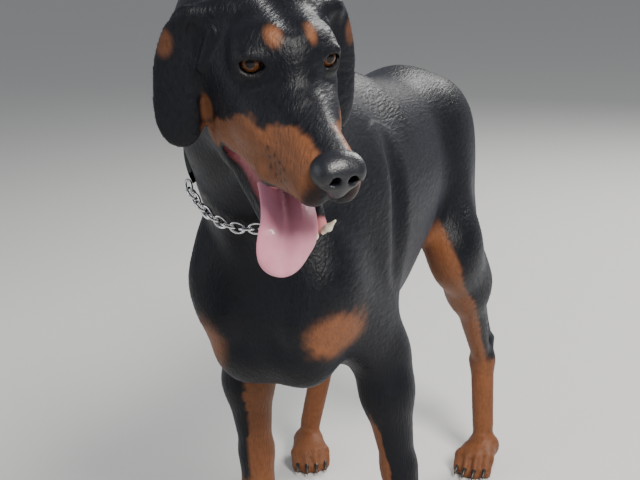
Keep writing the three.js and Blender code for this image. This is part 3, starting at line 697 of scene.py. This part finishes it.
def coat_material(name, props, skin):
    """Black and rust coat; the skin also takes the mouth's lining and dark lips, and a lying-hair bump."""
    m, t, b = material(name, (0, 0, 0), 0.42)
    fine = noise(t, 260, (1, 0.25, 0.6))
    blotch = noise(t, 16)
    black = mixed(t, fine, tuple(c * 0.55 for c in props.black), tuple(c * 1.7 for c in props.black))
    rust = mixed(t, fine, tuple(c * 0.6 for c in props.rust), tuple(min(c * 1.5, 1) for c in props.rust))
    rust = mixed(t, maths(t, "MULTIPLY", blotch, 0.5), rust, tuple(c * 0.6 for c in props.rust))
    color = mixed(t, marked(t, "rust"), black, rust)
    if skin:
        color = mixed(t, marked(t, "dark"), color, (0.012, 0.011, 0.012))
        color = mixed(t, marked(t, "mouth"), color, (0.5, 0.17, 0.19))
        lie = noise(t, 420, (1, 0.16, 0.5), 2)
        stand = noise(t, 420, (1, 1, 0.14), 2)
        legs = marked(t, "legs")
        hair = mixed(t, legs, lie, stand)
        bumped(t, b, hair, 0.75, 0.0014)
        rough = maths(t, "MULTIPLY_ADD", fine, 0.25)
        t.links.new(rough, b.inputs["Roughness"])
        rough.node.inputs[2].default_value = 0.34
    t.links.new(color, b.inputs["Base Color"])
    put(b, Specular_IOR_Level=0.17, Sheen_Weight=0.03, Sheen_Roughness=0.4, Sheen_Tint=(0.6, 0.7, 1, 1))
    return m


def finish_piece(ob, mat, slot_name, *nodes):
    """Give a piece its material and body, and hide the model's parts of the given nodes; slot_name is not
    used.
    """
    ob.data.materials.clear()
    ob.data.materials.append(mat)
    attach(ob, "root")
    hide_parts(*nodes)


LEG_PARTS = ("foreleg", "forefoot", "thigh", "hindleg", "hindfoot")
FLESH_NODES = ["head", "jaw", "neck", "torso", "tail", "ear_left", "ear_right"]
FLESH_NODES += [part + "_" + side for part in LEG_PARTS for side in ("left", "right")]


class DogProperties(bpy.types.PropertyGroup):
    """Sizes and colours of the dog."""

    fine: FloatProperty(
        name="Head cell", description="Size of the skin's cells on the head", default=0.0022, unit="LENGTH"
    )
    coarse: FloatProperty(
        name="Body cell", description="Size of the skin's cells on the body", default=0.0052, unit="LENGTH"
    )
    depth: FloatProperty(
        name="Coat depth", description="How far the skin lies inside the coat", default=0.0008, unit="LENGTH"
    )
    hair: FloatProperty(
        name="Hair length", description="Length of the coat's hairs", default=0.008, unit="LENGTH"
    )
    tufts: IntProperty(name="Tufts", description="How many tufts lie on the body", default=90000)
    head_tufts: IntProperty(name="Head tufts", description="How many tufts lie on the head", default=36000)
    black: FloatVectorProperty(
        name="Black",
        description="Colour of the dark coat",
        subtype="COLOR",
        default=(0.0038, 0.0043, 0.0066),
    )
    rust: FloatVectorProperty(
        name="Rust",
        description="Colour of the markings",
        subtype="COLOR",
        default=(0.165, 0.063, 0.027),
    )


class DOG_OT_skin(bpy.types.Operator):
    """Sculpt one skin over the whole dog and paint its markings"""

    bl_idname = "dog.skin"
    bl_label = "Skin"

    def execute(self, context):
        props = context.scene.dog
        fine, coarse = props.fine * 1000, props.coarse * 1000
        xs = ruler(-232, 232, coarse, (-14, 208, fine))
        ys = ruler(-460, 680, coarse, (-430, -175, fine))
        zs = ruler(-10.3, 900, coarse, (585, 850, fine))
        verts, quads = net(whole_flesh(), xs, ys, zs, -props.depth * 1000)
        verts, quads = largest_piece(verts, quads)
        verts[:, 2] = np.maximum(verts[:, 2], -SHIFT[2])
        ob = make_mesh("skin", to_frame(verts), quads, 4)
        rust, dark, mouth = markings(verts)
        attribute(ob, "rust", rust)
        attribute(ob, "dark", dark)
        attribute(ob, "mouth", mouth)
        attribute(ob, "legs", step(400 - verts[:, 2], 0, 60))
        finish_piece(ob, coat_material("coat", props, True), "black_coat", *FLESH_NODES)
        return {"FINISHED"}


def read(items, name, width, kind):
    """One property of all items of a mesh, as rows."""
    values = np.empty(len(items) * width, kind)
    items.foreach_get(name, values)
    return values.reshape(-1, width)


# How deep a tuft is rooted, in metres, and how far its side and its tip stand along it
ROOT_DEPTH = 0.0002
SIDE_ALONG, SIDE_WIDE, TIP_RISE = 0.55, 0.7, 0.7
# Size of a tuft's patch on the bake map, which has a chart for each side of the skin in three regions
PATCH = 0.003
CHARTS, REGIONS, CHART_EDGE = 6, 3, 0.04
CHART_LOW, CHART_SIZE = vec(-240, -470, -10), vec(480, 1150, 900)


def tuft_corners(root, n, lie, length, wide, rise):
    """Four corners of each flat tuft: two at its root, one on its side and one at its tip."""
    across = np.cross(lie, n) * wide
    base = root - n * ROOT_DEPTH
    side = base + lie * length * SIDE_ALONG + n * rise + across * SIDE_WIDE
    tip = base + lie * length + n * rise * TIP_RISE
    return np.stack([base - across, base + across, side, tip], 1).reshape(-1, 3)


def bake_map(ob, mm, n, tris):
    """Each tuft takes a patch at its root's place on charts of the skin's six sides."""
    layer = ob.data.uv_layers.new(name="OFBake")
    axis = np.abs(n).argmax(1)
    chart = axis * 2 + (np.take_along_axis(n, axis[:, None], 1)[:, 0] > 0)
    region = np.where(in_head_coat(mm), 2, mm[:, 0] > 0)
    share = (mm - CHART_LOW) / CHART_SIZE
    local = np.empty((len(mm), 2))
    for k, pair in enumerate(((1, 2), (0, 2), (0, 1))):
        local[axis == k] = share[axis == k][:, pair]
    inner = CHART_EDGE + (1 - 2 * CHART_EDGE) * np.clip(local, 0, 1)
    centre = (np.stack([chart, region], 1) + inner) / (CHARTS, REGIONS)
    patch = np.array([(-1, -1), (1, -1), (1, 1), (-1, 1)]) * PATCH / 2
    corner = tris.ravel()
    uv = centre[corner // 4] + patch[corner % 4]
    layer.data.foreach_set("uv", uv.astype(np.float32).ravel())


class DOG_OT_coat(bpy.types.Operator):
    """Lay short hairs over the skin, in tufts that follow the coat's flow"""

    bl_idname = "dog.coat"
    bl_label = "Coat"

    def execute(self, context):
        props = context.scene.dog
        me = bpy.data.objects["skin"].data
        co = read(me.vertices, "co", 3, np.float32).astype(float)
        normal = read(me.vertices, "normal", 3, np.float32).astype(float)
        quads = read(me.polygons, "vertices", 4, np.int32)
        a, b, c, d = (co[quads[:, i]] for i in range(4))
        area = np.linalg.norm(np.cross(c - a, d - b), axis=1) / 2
        middle = (a + b + c + d) / 4 * 1000 - SHIFT
        _, dark, mouth = markings(middle)
        area[(dark > 0.4) | (mouth > 0.1) | (middle[:, 2] < 12)] = 0
        head = in_head_coat(middle)
        rng = np.random.default_rng(7)
        mat = coat_material("hair", props, False)
        jobs = (("coat_body", ~head, props.tufts, 1.0), ("coat_head", head, props.head_tufts, 0.5))
        for name, where, tufts, scale in jobs:
            weight = np.where(where, area, 0)
            q = quads[rng.choice(len(quads), tufts, p=weight / weight.sum())]
            u, v = np.split(rng.random((tufts, 2)), 2, axis=1)
            root = mix(mix(co[q[:, 0]], co[q[:, 1]], u), mix(co[q[:, 3]], co[q[:, 2]], u), v)
            n = unit(normal[q].mean(1))
            mm = root * 1000 - SHIFT
            lie = flow(mm, n) + rng.normal(0, 0.16, (tufts, 3))
            lie = unit(lie - n * (lie * n).sum(1)[:, None])
            length = props.hair * scale * rng.uniform(0.6, 1.2, (tufts, 1))
            wide = rng.uniform(0.00016, 0.0003, (tufts, 1)) * (0.8 + 0.2 * scale)
            rise = length * rng.uniform(0.015, 0.045, (tufts, 1))
            base = np.arange(tufts)[:, None] * 4
            tris = np.concatenate([base + (0, 1, 2), base + (0, 2, 3)], 1).reshape(-1, 3)
            ob = make_mesh(name, tuft_corners(root, n, lie, length, wide, rise), tris, 3)
            attribute(ob, "rust", np.repeat(markings(mm)[0], 4))
            lean = unit(n + rng.normal(0, 0.05, (tufts, 3)))
            ob.data.normals_split_custom_set_from_vertices(np.repeat(lean, 4, axis=0))
            bake_map(ob, mm, n, tris)
            finish_piece(ob, mat, "black_coat")
        return {"FINISHED"}


def eye_glass():
    """Pupil, brown iris with fibres, dark rim and the white, in rings round the eye's front."""
    m, t, b = material("eye", (0.1, 0.04, 0.02), 0.05)
    co = t.nodes.new("ShaderNodeTexCoord")
    sep = t.nodes.new("ShaderNodeSeparateXYZ")
    t.links.new(co.outputs["Object"], sep.inputs[0])
    x2 = maths(t, "MULTIPLY", sep.outputs[0], sep.outputs[0])
    z2 = maths(t, "MULTIPLY", sep.outputs[2], sep.outputs[2])
    r = maths(t, "SQRT", maths(t, "ADD", x2, z2), 0.0)

    def outside(share, soft):
        n = t.nodes.new("ShaderNodeMapRange")
        put(n, From_Min=share * EYE_R / 1000, From_Max=(share + soft) * EYE_R / 1000)
        t.links.new(r, n.inputs["Value"])
        return n.outputs["Result"]

    iris = mixed(t, noise(t, 900, (1, 0.1, 1)), (0.035, 0.012, 0.005), (0.12, 0.044, 0.016))
    color = mixed(t, outside(0.34, 0.06), (0.003, 0.002, 0.002), iris)
    color = mixed(t, outside(0.62, 0.1), color, (0.02, 0.01, 0.008))
    color = mixed(t, outside(0.82, 0.1), color, (0.12, 0.085, 0.07))
    t.links.new(color, b.inputs["Base Color"])
    put(b, Specular_IOR_Level=0.26)
    return m


class DOG_OT_eyes(bpy.types.Operator):
    """Make the two eyes, with pupil, iris and white"""

    bl_idname = "dog.eyes"
    bl_label = "Eyes"

    def execute(self, context):
        m = eye_glass()
        for s in SIDES:
            bm = bmesh.new()
            bmesh.ops.create_uvsphere(bm, u_segments=40, v_segments=24, radius=EYE_R / 1000)
            me = bpy.data.meshes.new("eye_" + SIDE_NAME[s])
            bm.to_mesh(me)
            bm.free()
            me.shade_smooth()
            ob = bpy.data.objects.new(me.name, me)
            context.scene.collection.objects.link(ob)
            gaze = Euler((math.radians(-12), 0, math.radians(s * 20 - 8))).to_matrix()
            look = Matrix(HEAD_TURN.tolist()) @ gaze
            ob.matrix_world = Matrix.Translation(to_frame(head_point(EYE_AT[s]))) @ look.to_4x4()
            finish_piece(ob, m, "eye", "eye_" + SIDE_NAME[s])
        return {"FINISHED"}


def field_piece(name, flesh, low, high, cell, mat, slot_name, *nodes):
    """A small piece of the head: its own field, netted in the head's frame."""
    lines = [np.arange(a, b + cell, cell) for a, b in zip(low, high)]
    verts, quads = net(flesh.far, *lines)
    ob = make_mesh(name, to_frame(head_point(verts)), quads, 4)
    finish_piece(ob, mat, slot_name, *nodes)


# The tongue's middle line, half its width and thickness, its groove, and where its round tip begins
TONGUE = [(0, 14, -94), (-3, -30, -99), (-7, -60, -104)]
TONGUE += [(-14, -86, -112), (-21, -98, -128), (-22, -104, -152)]
TONGUE_HALF, TONGUE_THICK = 26.5, 4.6
GROOVE_DEEP, GROOVE_WIDE, EDGE_DROP = 4, 4, 3
TIP_FROM = 0.74
TONGUE_RINGS, TONGUE_SIDES = 44, 28


def along_curve(points, t):
    """Points of a smooth curve through the given points, t from 0 to 1."""
    points = np.asarray(points, float)
    points = np.concatenate([2 * points[:1] - points[1:2], points, 2 * points[-1:] - points[-2:-1]])
    u = np.clip(t, 0, 1) * (len(points) - 3)
    i = np.minimum(u.astype(int), len(points) - 4)
    u = (u - i)[:, None]
    a, b, c, d = (points[i + k] for k in range(4))
    bend = u * u * (a - 2.5 * b + 2 * c - d / 2)
    return b + u * (c - a) / 2 + bend + u**3 * (1.5 * (b - c) + (d - a) / 2)


def tongue_points():
    """Rings of a broad tongue with a groove, round at the tip, in the head's frame."""
    t = 1 - (1 - np.linspace(0, 1, TONGUE_RINGS)) ** 1.5
    line = along_curve(TONGUE, t)
    ahead = unit(np.gradient(line, axis=0))
    side = unit(vec(1, 0, 0) - ahead * ahead[:, :1])
    up = np.cross(ahead, side)
    beyond = np.clip(t - TIP_FROM, 0, 1) / (1 - TIP_FROM)
    round_tip = np.sqrt(np.clip(1 - beyond**2.4, 0.0004, 1))
    half = TONGUE_HALF * np.interp(t, [0, 0.4, 0.7, 1], [0.75, 0.9, 1, 0.94]) * round_tip
    thick = TONGUE_THICK * np.clip(round_tip * 1.6, 0.02, 1)
    rings = []
    for k in range(TONGUE_SIDES):
        a = 2 * math.pi * k / TONGUE_SIDES
        x = np.full(len(t), math.cos(a))
        groove = GROOVE_DEEP * np.exp(-((x * half / GROOVE_WIDE) ** 2)) * (math.sin(a) > 0)
        lift = math.sin(a) * thick - (groove + EDGE_DROP * x * x) * round_tip
        rings.append(line + side * (x * half)[:, None] + up * lift[:, None])
    return np.stack(rings, 1).reshape(-1, 3)


def ring_quads(rings, sides, base=0, joined=False):
    """Quads between rings of points; joined also runs from the last ring to the first."""
    quads = []
    for i in range(rings if joined else rings - 1):
        here, there = base + i * sides, base + (i + 1) % rings * sides
        for k in range(sides):
            j = (k + 1) % sides
            quads.append((here + k, here + j, there + j, there + k))
    return quads


def end_quads(rings, sides):
    """Strips of quads that shut the first and the last ring."""
    quads = []
    for i, turn in ((0, -1), (rings - 1, 1)):
        for k in range(sides // 2 - 1):
            strip = [i * sides + c for c in (k, k + 1, sides - k - 2, sides - k - 1)]
            quads.append(tuple(strip[::turn]))
    return quads


class DOG_OT_nose(bpy.types.Operator):
    """Make the nose with its two nostrils"""

    bl_idname = "dog.nose"
    bl_label = "Nose"

    def execute(self, context):
        m, t, b = material("nose", (0.006, 0.007, 0.011), 0.4)
        pebble = t.nodes.new("ShaderNodeTexVoronoi")
        put(pebble, Scale=620)
        co = t.nodes.new("ShaderNodeTexCoord")
        t.links.new(co.outputs["Object"], pebble.inputs["Vector"])
        bumped(t, b, pebble.outputs["Distance"], 0.35, 0.0005)
        f = Flesh()
        f.add(ball((0, -126, -30), (21, 17, 16)), 6)
        f.add(ball((0, -129, -42), (9, 9, 12)), 8)
        for s in SIDES:
            f.add(ball((s * 12, -128, -30), (9.5, 13, 11)), 6)
            f.cut(limb((s * 6, -146, -31), (s * 11, -126, -32), 4.4, 4), 2.5)
            f.cut(limb((s * 11, -142, -35), (s * 21, -134, -40), 2.6, 1.6), 2.5)
        f.cut(limb((0, -150, -36), (0, -142, -58), 1.2, 1.2), 4)
        field_piece("nose", f, (-34, -156, -64), (34, -100, -6), 1.3, m, "nose", "nose")
        return {"FINISHED"}


class DOG_OT_tongue(bpy.types.Operator):
    """Make the tongue, which hangs over the lower lip"""

    bl_idname = "dog.tongue"
    bl_label = "Tongue"

    def execute(self, context):
        m, t, b = material("tongue", (0.66, 0.24, 0.32), 0.36, coat=0.25)
        put(b, Subsurface_Weight=0.25, Subsurface_Radius=(0.006, 0.002, 0.0015))
        bumped(t, b, noise(t, 900), 0.5, 0.0005)
        color = mixed(t, noise(t, 60), (0.58, 0.19, 0.27), (0.74, 0.33, 0.42))
        t.links.new(color, b.inputs["Base Color"])
        quads = ring_quads(TONGUE_RINGS, TONGUE_SIDES) + end_quads(TONGUE_RINGS, TONGUE_SIDES)
        ob = make_mesh("tongue", to_frame(head_point(tongue_points())), quads, 4)
        finish_piece(ob, m, "tongue", "tongue")
        return {"FINISHED"}


class DOG_OT_teeth(bpy.types.Operator):
    """Make the lower incisors and the two lower canines"""

    bl_idname = "dog.teeth"
    bl_label = "Teeth"

    def execute(self, context):
        m, _, _ = material("tooth", (0.72, 0.64, 0.5), 0.25, coat=0.3)
        f = Flesh()
        f.add(limb(jaw_point(-11, -115, -59), jaw_point(11, -115, -59), 4, 4), 2)
        for i in np.arange(-2.5, 3):
            place = jaw_point(i * 4.3, -117 + i * i * 0.5, -54)
            f.add(ball(place, (2.3, 2.3, 5.5), (-GAPE, 0, 0)), 1.5)
        field_piece("incisors", f, (-24, -124, -146), (24, -70, -96), 0.9, m, "tooth", "lower_incisors")
        for s in SIDES:
            # the tongue lies over the right one
            sunk = 0 if s == LEFT else 10
            root = jaw_point(s * 20, -109, -64 - sunk)
            neck = jaw_point(s * 22, -113, -50 - sunk)
            tip = jaw_point(s * 24.5, -113, -38 - sunk)
            f = Flesh()
            f.add(limb(root, neck, 4.2, 3.1), 1)
            f.add(limb(neck, tip, 3.1, 1.1), 3)
            name = "lower_canine_" + SIDE_NAME[s]
            field_piece(name, f, (-30, -124, -150), (30, -60, -76), 0.9, m, "tooth", name)
        return {"FINISHED"}


def tube(path, radii, sides):
    """Points of a tapering tube along a path, open at both ends."""
    path = np.asarray(path, float)
    verts = []
    for i, p in enumerate(path):
        ahead = path[min(i + 1, len(path) - 1)] - path[max(i - 1, 0)]
        q = Vector(ahead).to_track_quat("Z", "Y")
        for k in range(sides):
            a = 2 * math.pi * k / sides
            verts.append(p + np.array(q @ Vector((math.cos(a), math.sin(a), 0))) * radii[i])
    return verts


# Rings and sides of a claw, its thickness at the root and at the tip, and its arch
CLAW_RINGS, CLAW_SIDES = 7, 10
CLAW_ROOT, CLAW_TIP, CLAW_ARCH = 4.6, 0.15, 3.2


class DOG_OT_claws(bpy.types.Operator):
    """Make a short dark claw for every toe"""

    bl_idname = "dog.claws"
    bl_label = "Claws"

    def execute(self, context):
        m, t, b = material("claw", (0.016, 0.013, 0.012), 0.35)
        bumped(t, b, noise(t, 300, (3, 0.3, 1)), 0.3, 0.0004)
        for name, paw, out, k in paws():
            at = paw_place(paw, out, k)
            verts, quads, nodes = [], [], []
            for i, (x, reach) in enumerate(TOES):
                root, tip = at(x * 1.3, -55 - reach, 18), at(x * 1.34, -76 - reach, 6.5)
                along = np.linspace(0, 1, CLAW_RINGS)
                path = [mix(root, tip, u) + (0, 0, CLAW_ARCH * math.sin(math.pi * u)) for u in along]
                radii = [max(CLAW_TIP, CLAW_ROOT * k * (1 - u) ** 0.6) for u in along]
                quads += ring_quads(CLAW_RINGS, CLAW_SIDES, len(verts))
                verts += tube(path, radii, CLAW_SIDES)
                nodes.append(f"claw_{name}_{i + 1}")
            ob = make_mesh("claws_" + name, to_frame(verts), quads, 4)
            finish_piece(ob, m, "claw", *nodes)
        return {"FINISHED"}


COLLAR_AT = vec(6, -116, 662)
COLLAR_UP = vec(0.15, -0.7, 0.69) / np.linalg.norm((0.15, -0.7, 0.69))
STRAP_FROM, STRAP_TO = math.radians(-30), math.radians(226)
STRAP_RINGS = 121
# The strap's section: height over the neck and place across the strap
STRAP = [(-0.6, -10), (-0.6, -9.6), (2.6, -9.9), (3, -9.2), (3, 9.2), (2.6, 9.9), (-0.6, 9.6), (-0.6, 10)]
# A link's half length, half width, wire, pitch and twist, and the chain's height over the neck
LINK_LONG, LINK_WIDE, LINK_WIRE, LINK_PITCH = 7.6, 5.4, 1.35, 9.5
LINK_TWIST, CHAIN_OVER = math.radians(38), 7.0
LINK_RINGS, LINK_SIDES = 24, 8


def collar_points(turns, over, far):
    """Points of the collar's ring, over the neck's surface by a given height."""
    right = vec(1, 0, 0) - COLLAR_UP * COLLAR_UP[0]
    right /= np.linalg.norm(right)
    back = np.cross(COLLAR_UP, right)
    way = np.outer(np.cos(turns), right) + np.outer(np.sin(turns), back)
    r = np.full(len(turns), 40.0)
    for _ in range(60):
        r += (over - far(COLLAR_AT + way * r[:, None])) * 0.8
    return COLLAR_AT + way * r[:, None]


def strap_points(far):
    """Rings of the strap's section round the neck."""
    turns = np.linspace(STRAP_FROM, STRAP_TO, STRAP_RINGS)
    rows = [collar_points(turns, over, far) + COLLAR_UP * up for over, up in STRAP]
    return np.stack(rows, 1).reshape(-1, 3)


def link_points(turn):
    """Rings of one oval link round the origin."""
    points = []
    for j in range(LINK_RINGS):
        a = 2 * math.pi * j / LINK_RINGS
        middle = Vector((math.cos(a) * LINK_LONG, math.sin(a) * LINK_WIDE, 0))
        ray = Vector((math.cos(a), math.sin(a), 0))
        for k in range(LINK_SIDES):
            e = 2 * math.pi * k / LINK_SIDES
            wire = (ray * math.cos(e) + Vector((0, 0, 1)) * math.sin(e)) * LINK_WIRE
            points.append(np.array(turn @ (middle + wire)))
    return points


def chain_links(far):
    """Points and quads of all the links, from one end of the strap to the other."""
    first, last = STRAP_TO + math.radians(4), STRAP_FROM + math.radians(356)
    line = collar_points(np.linspace(first, last, 200), CHAIN_OVER, far)
    length = np.concatenate([[0], np.cumsum(np.linalg.norm(np.diff(line, axis=0), axis=1))])

    def place(at):
        return np.array([np.interp(at, length, line[:, d]) for d in range(3)])

    verts, quads = [], []
    count = round(length[-1] / LINK_PITCH)
    for i in range(count + 1):
        at = length[-1] * i / count
        ahead = place(min(at + 2, length[-1])) - place(max(at - 2, 0))
        along = ahead / np.linalg.norm(ahead)
        outward = np.cross(along, COLLAR_UP)
        outward /= np.linalg.norm(outward)
        basis = Matrix(np.stack([along, np.cross(outward, along), outward], 1).tolist())
        turn = basis @ Matrix.Rotation(LINK_TWIST if i % 2 else -LINK_TWIST, 3, "X")
        ring = ring_quads(LINK_RINGS, LINK_SIDES, len(verts), joined=True)
        quads += [(a, d, c, b) for a, b, c, d in ring]
        verts += [place(at) + p for p in link_points(turn)]
    return verts, quads


class DOG_OT_collar(bpy.types.Operator):
    """Make the collar: a black strap over the nape and a bright chain at the throat"""

    bl_idname = "dog.collar"
    bl_label = "Collar"

    def execute(self, context):
        far = whole_flesh()
        m, t, b = material("strap", (0.012, 0.012, 0.014), 0.6)
        bumped(t, b, noise(t, 700), 0.4, 0.0006)
        quads = ring_quads(STRAP_RINGS, len(STRAP))
        ob = make_mesh("collar_strap", to_frame(strap_points(far)), quads, 4, smooth=False)
        finish_piece(ob, m, "strap", "collar_strap")

        m, _, _ = material("chain", (0.62, 0.62, 0.64), 0.16, 1.0)
        verts, quads = chain_links(far)
        ob = make_mesh("collar_chain", to_frame(verts), quads, 4)
        finish_piece(ob, m, "chain", "collar_chain")
        return {"FINISHED"}


# The camera's place, its yaw, pitch and roll in degrees, its focal length in pixels, and the picture's width
CAMERA_AT, CAMERA_TURN = (451, -1132, 842), (20.9, 15.1, -3.0)
FOCAL, PICTURE_WIDE, SENSOR = 1072, 640, 36
FLOOR_HALF = 30


def place_camera(scene):
    """The photo's point of view."""
    yaw, pitch, roll = (math.radians(a) for a in CAMERA_TURN)
    back = Vector((math.sin(yaw) * math.cos(pitch), -math.cos(yaw) * math.cos(pitch), math.sin(pitch)))
    right = Vector((math.cos(yaw), math.sin(yaw), 0))
    up = back.cross(right)
    across = right * math.cos(roll) + up * math.sin(roll)
    upward = up * math.cos(roll) - right * math.sin(roll)
    data = bpy.data.cameras.new("camera")
    data.lens, data.sensor_width = FOCAL / PICTURE_WIDE * SENSOR, SENSOR
    data.clip_end = 100
    cam = bpy.data.objects.new("camera", data)
    turn = Matrix((across, upward, back)).transposed().to_4x4()
    cam.matrix_world = Matrix.Translation(to_frame(CAMERA_AT)) @ turn
    scene.collection.objects.link(cam)
    scene.camera = cam


class DOG_OT_stage(bpy.types.Operator):
    """Set up the floor, the lights and the camera"""

    bl_idname = "dog.stage"
    bl_label = "Studio"

    def execute(self, context):
        scene = context.scene
        verts = [(x * FLOOR_HALF, y * FLOOR_HALF, 0) for x, y in ((-1, -1), (1, -1), (1, 1), (-1, 1))]
        floor = make_mesh("floor", verts, [(0, 1, 2, 3)], 4, smooth=False)
        m, _, _ = material("floor", (0.62, 0.62, 0.61), 0.9)
        floor.data.materials.append(m)
        world = bpy.data.worlds.new("studio")
        world.use_nodes = True
        world.node_tree.nodes["Background"].inputs[0].default_value = (0.86, 0.89, 0.93, 1)
        world.node_tree.nodes["Background"].inputs[1].default_value = 0.36
        scene.world = world
        lights = (
            ("key", (1.9, -1.6, 2.6), 180, 1.1, (1, 0.96, 0.9)),
            ("fill", (-2.4, -1.8, 1.4), 26, 2.0, (0.9, 0.95, 1)),
            ("rim", (0.8, 2.6, 2.4), 90, 1.2, (1, 0.98, 0.95)),
        )
        for name, at, power, size, color in lights:
            data = bpy.data.lights.new(name, "AREA")
            data.energy, data.size, data.color = power, size, color
            ob = bpy.data.objects.new(name, data)
            ob.location = at
            aim = Vector((0, -0.1, 0.5)) - Vector(at)
            ob.rotation_euler = aim.to_track_quat("-Z", "Y").to_euler()
            scene.collection.objects.link(ob)
        place_camera(scene)
        return {"FINISHED"}


class DOG_PT_panel(bpy.types.Panel):
    """Buttons and settings in the 3D view's sidebar"""

    bl_label = "Standing Dog"
    bl_space_type = "VIEW_3D"
    bl_region_type = "UI"
    bl_category = "Dog"

    def draw(self, context):
        layout = self.layout
        for name in DogProperties.__annotations__:
            layout.prop(context.scene.dog, name)
        for operator in OPERATORS:
            layout.operator(operator.bl_idname)


OPERATORS = (DOG_OT_skin, DOG_OT_coat, DOG_OT_eyes, DOG_OT_nose, DOG_OT_tongue, DOG_OT_teeth)
OPERATORS += (DOG_OT_claws, DOG_OT_collar, DOG_OT_stage)
CLASSES = (DogProperties, *OPERATORS, DOG_PT_panel)


def register():
    for c in CLASSES:
        bpy.utils.register_class(c)
    bpy.types.Scene.dog = PointerProperty(type=DogProperties)


def unregister():
    del bpy.types.Scene.dog
    for c in reversed(CLASSES):
        bpy.utils.unregister_class(c)


def main():
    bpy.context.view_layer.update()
    register()
    for operator in OPERATORS:
        group, name = operator.bl_idname.split(".")
        getattr(getattr(bpy.ops, group), name)()


if __name__ == "__main__":
    main()
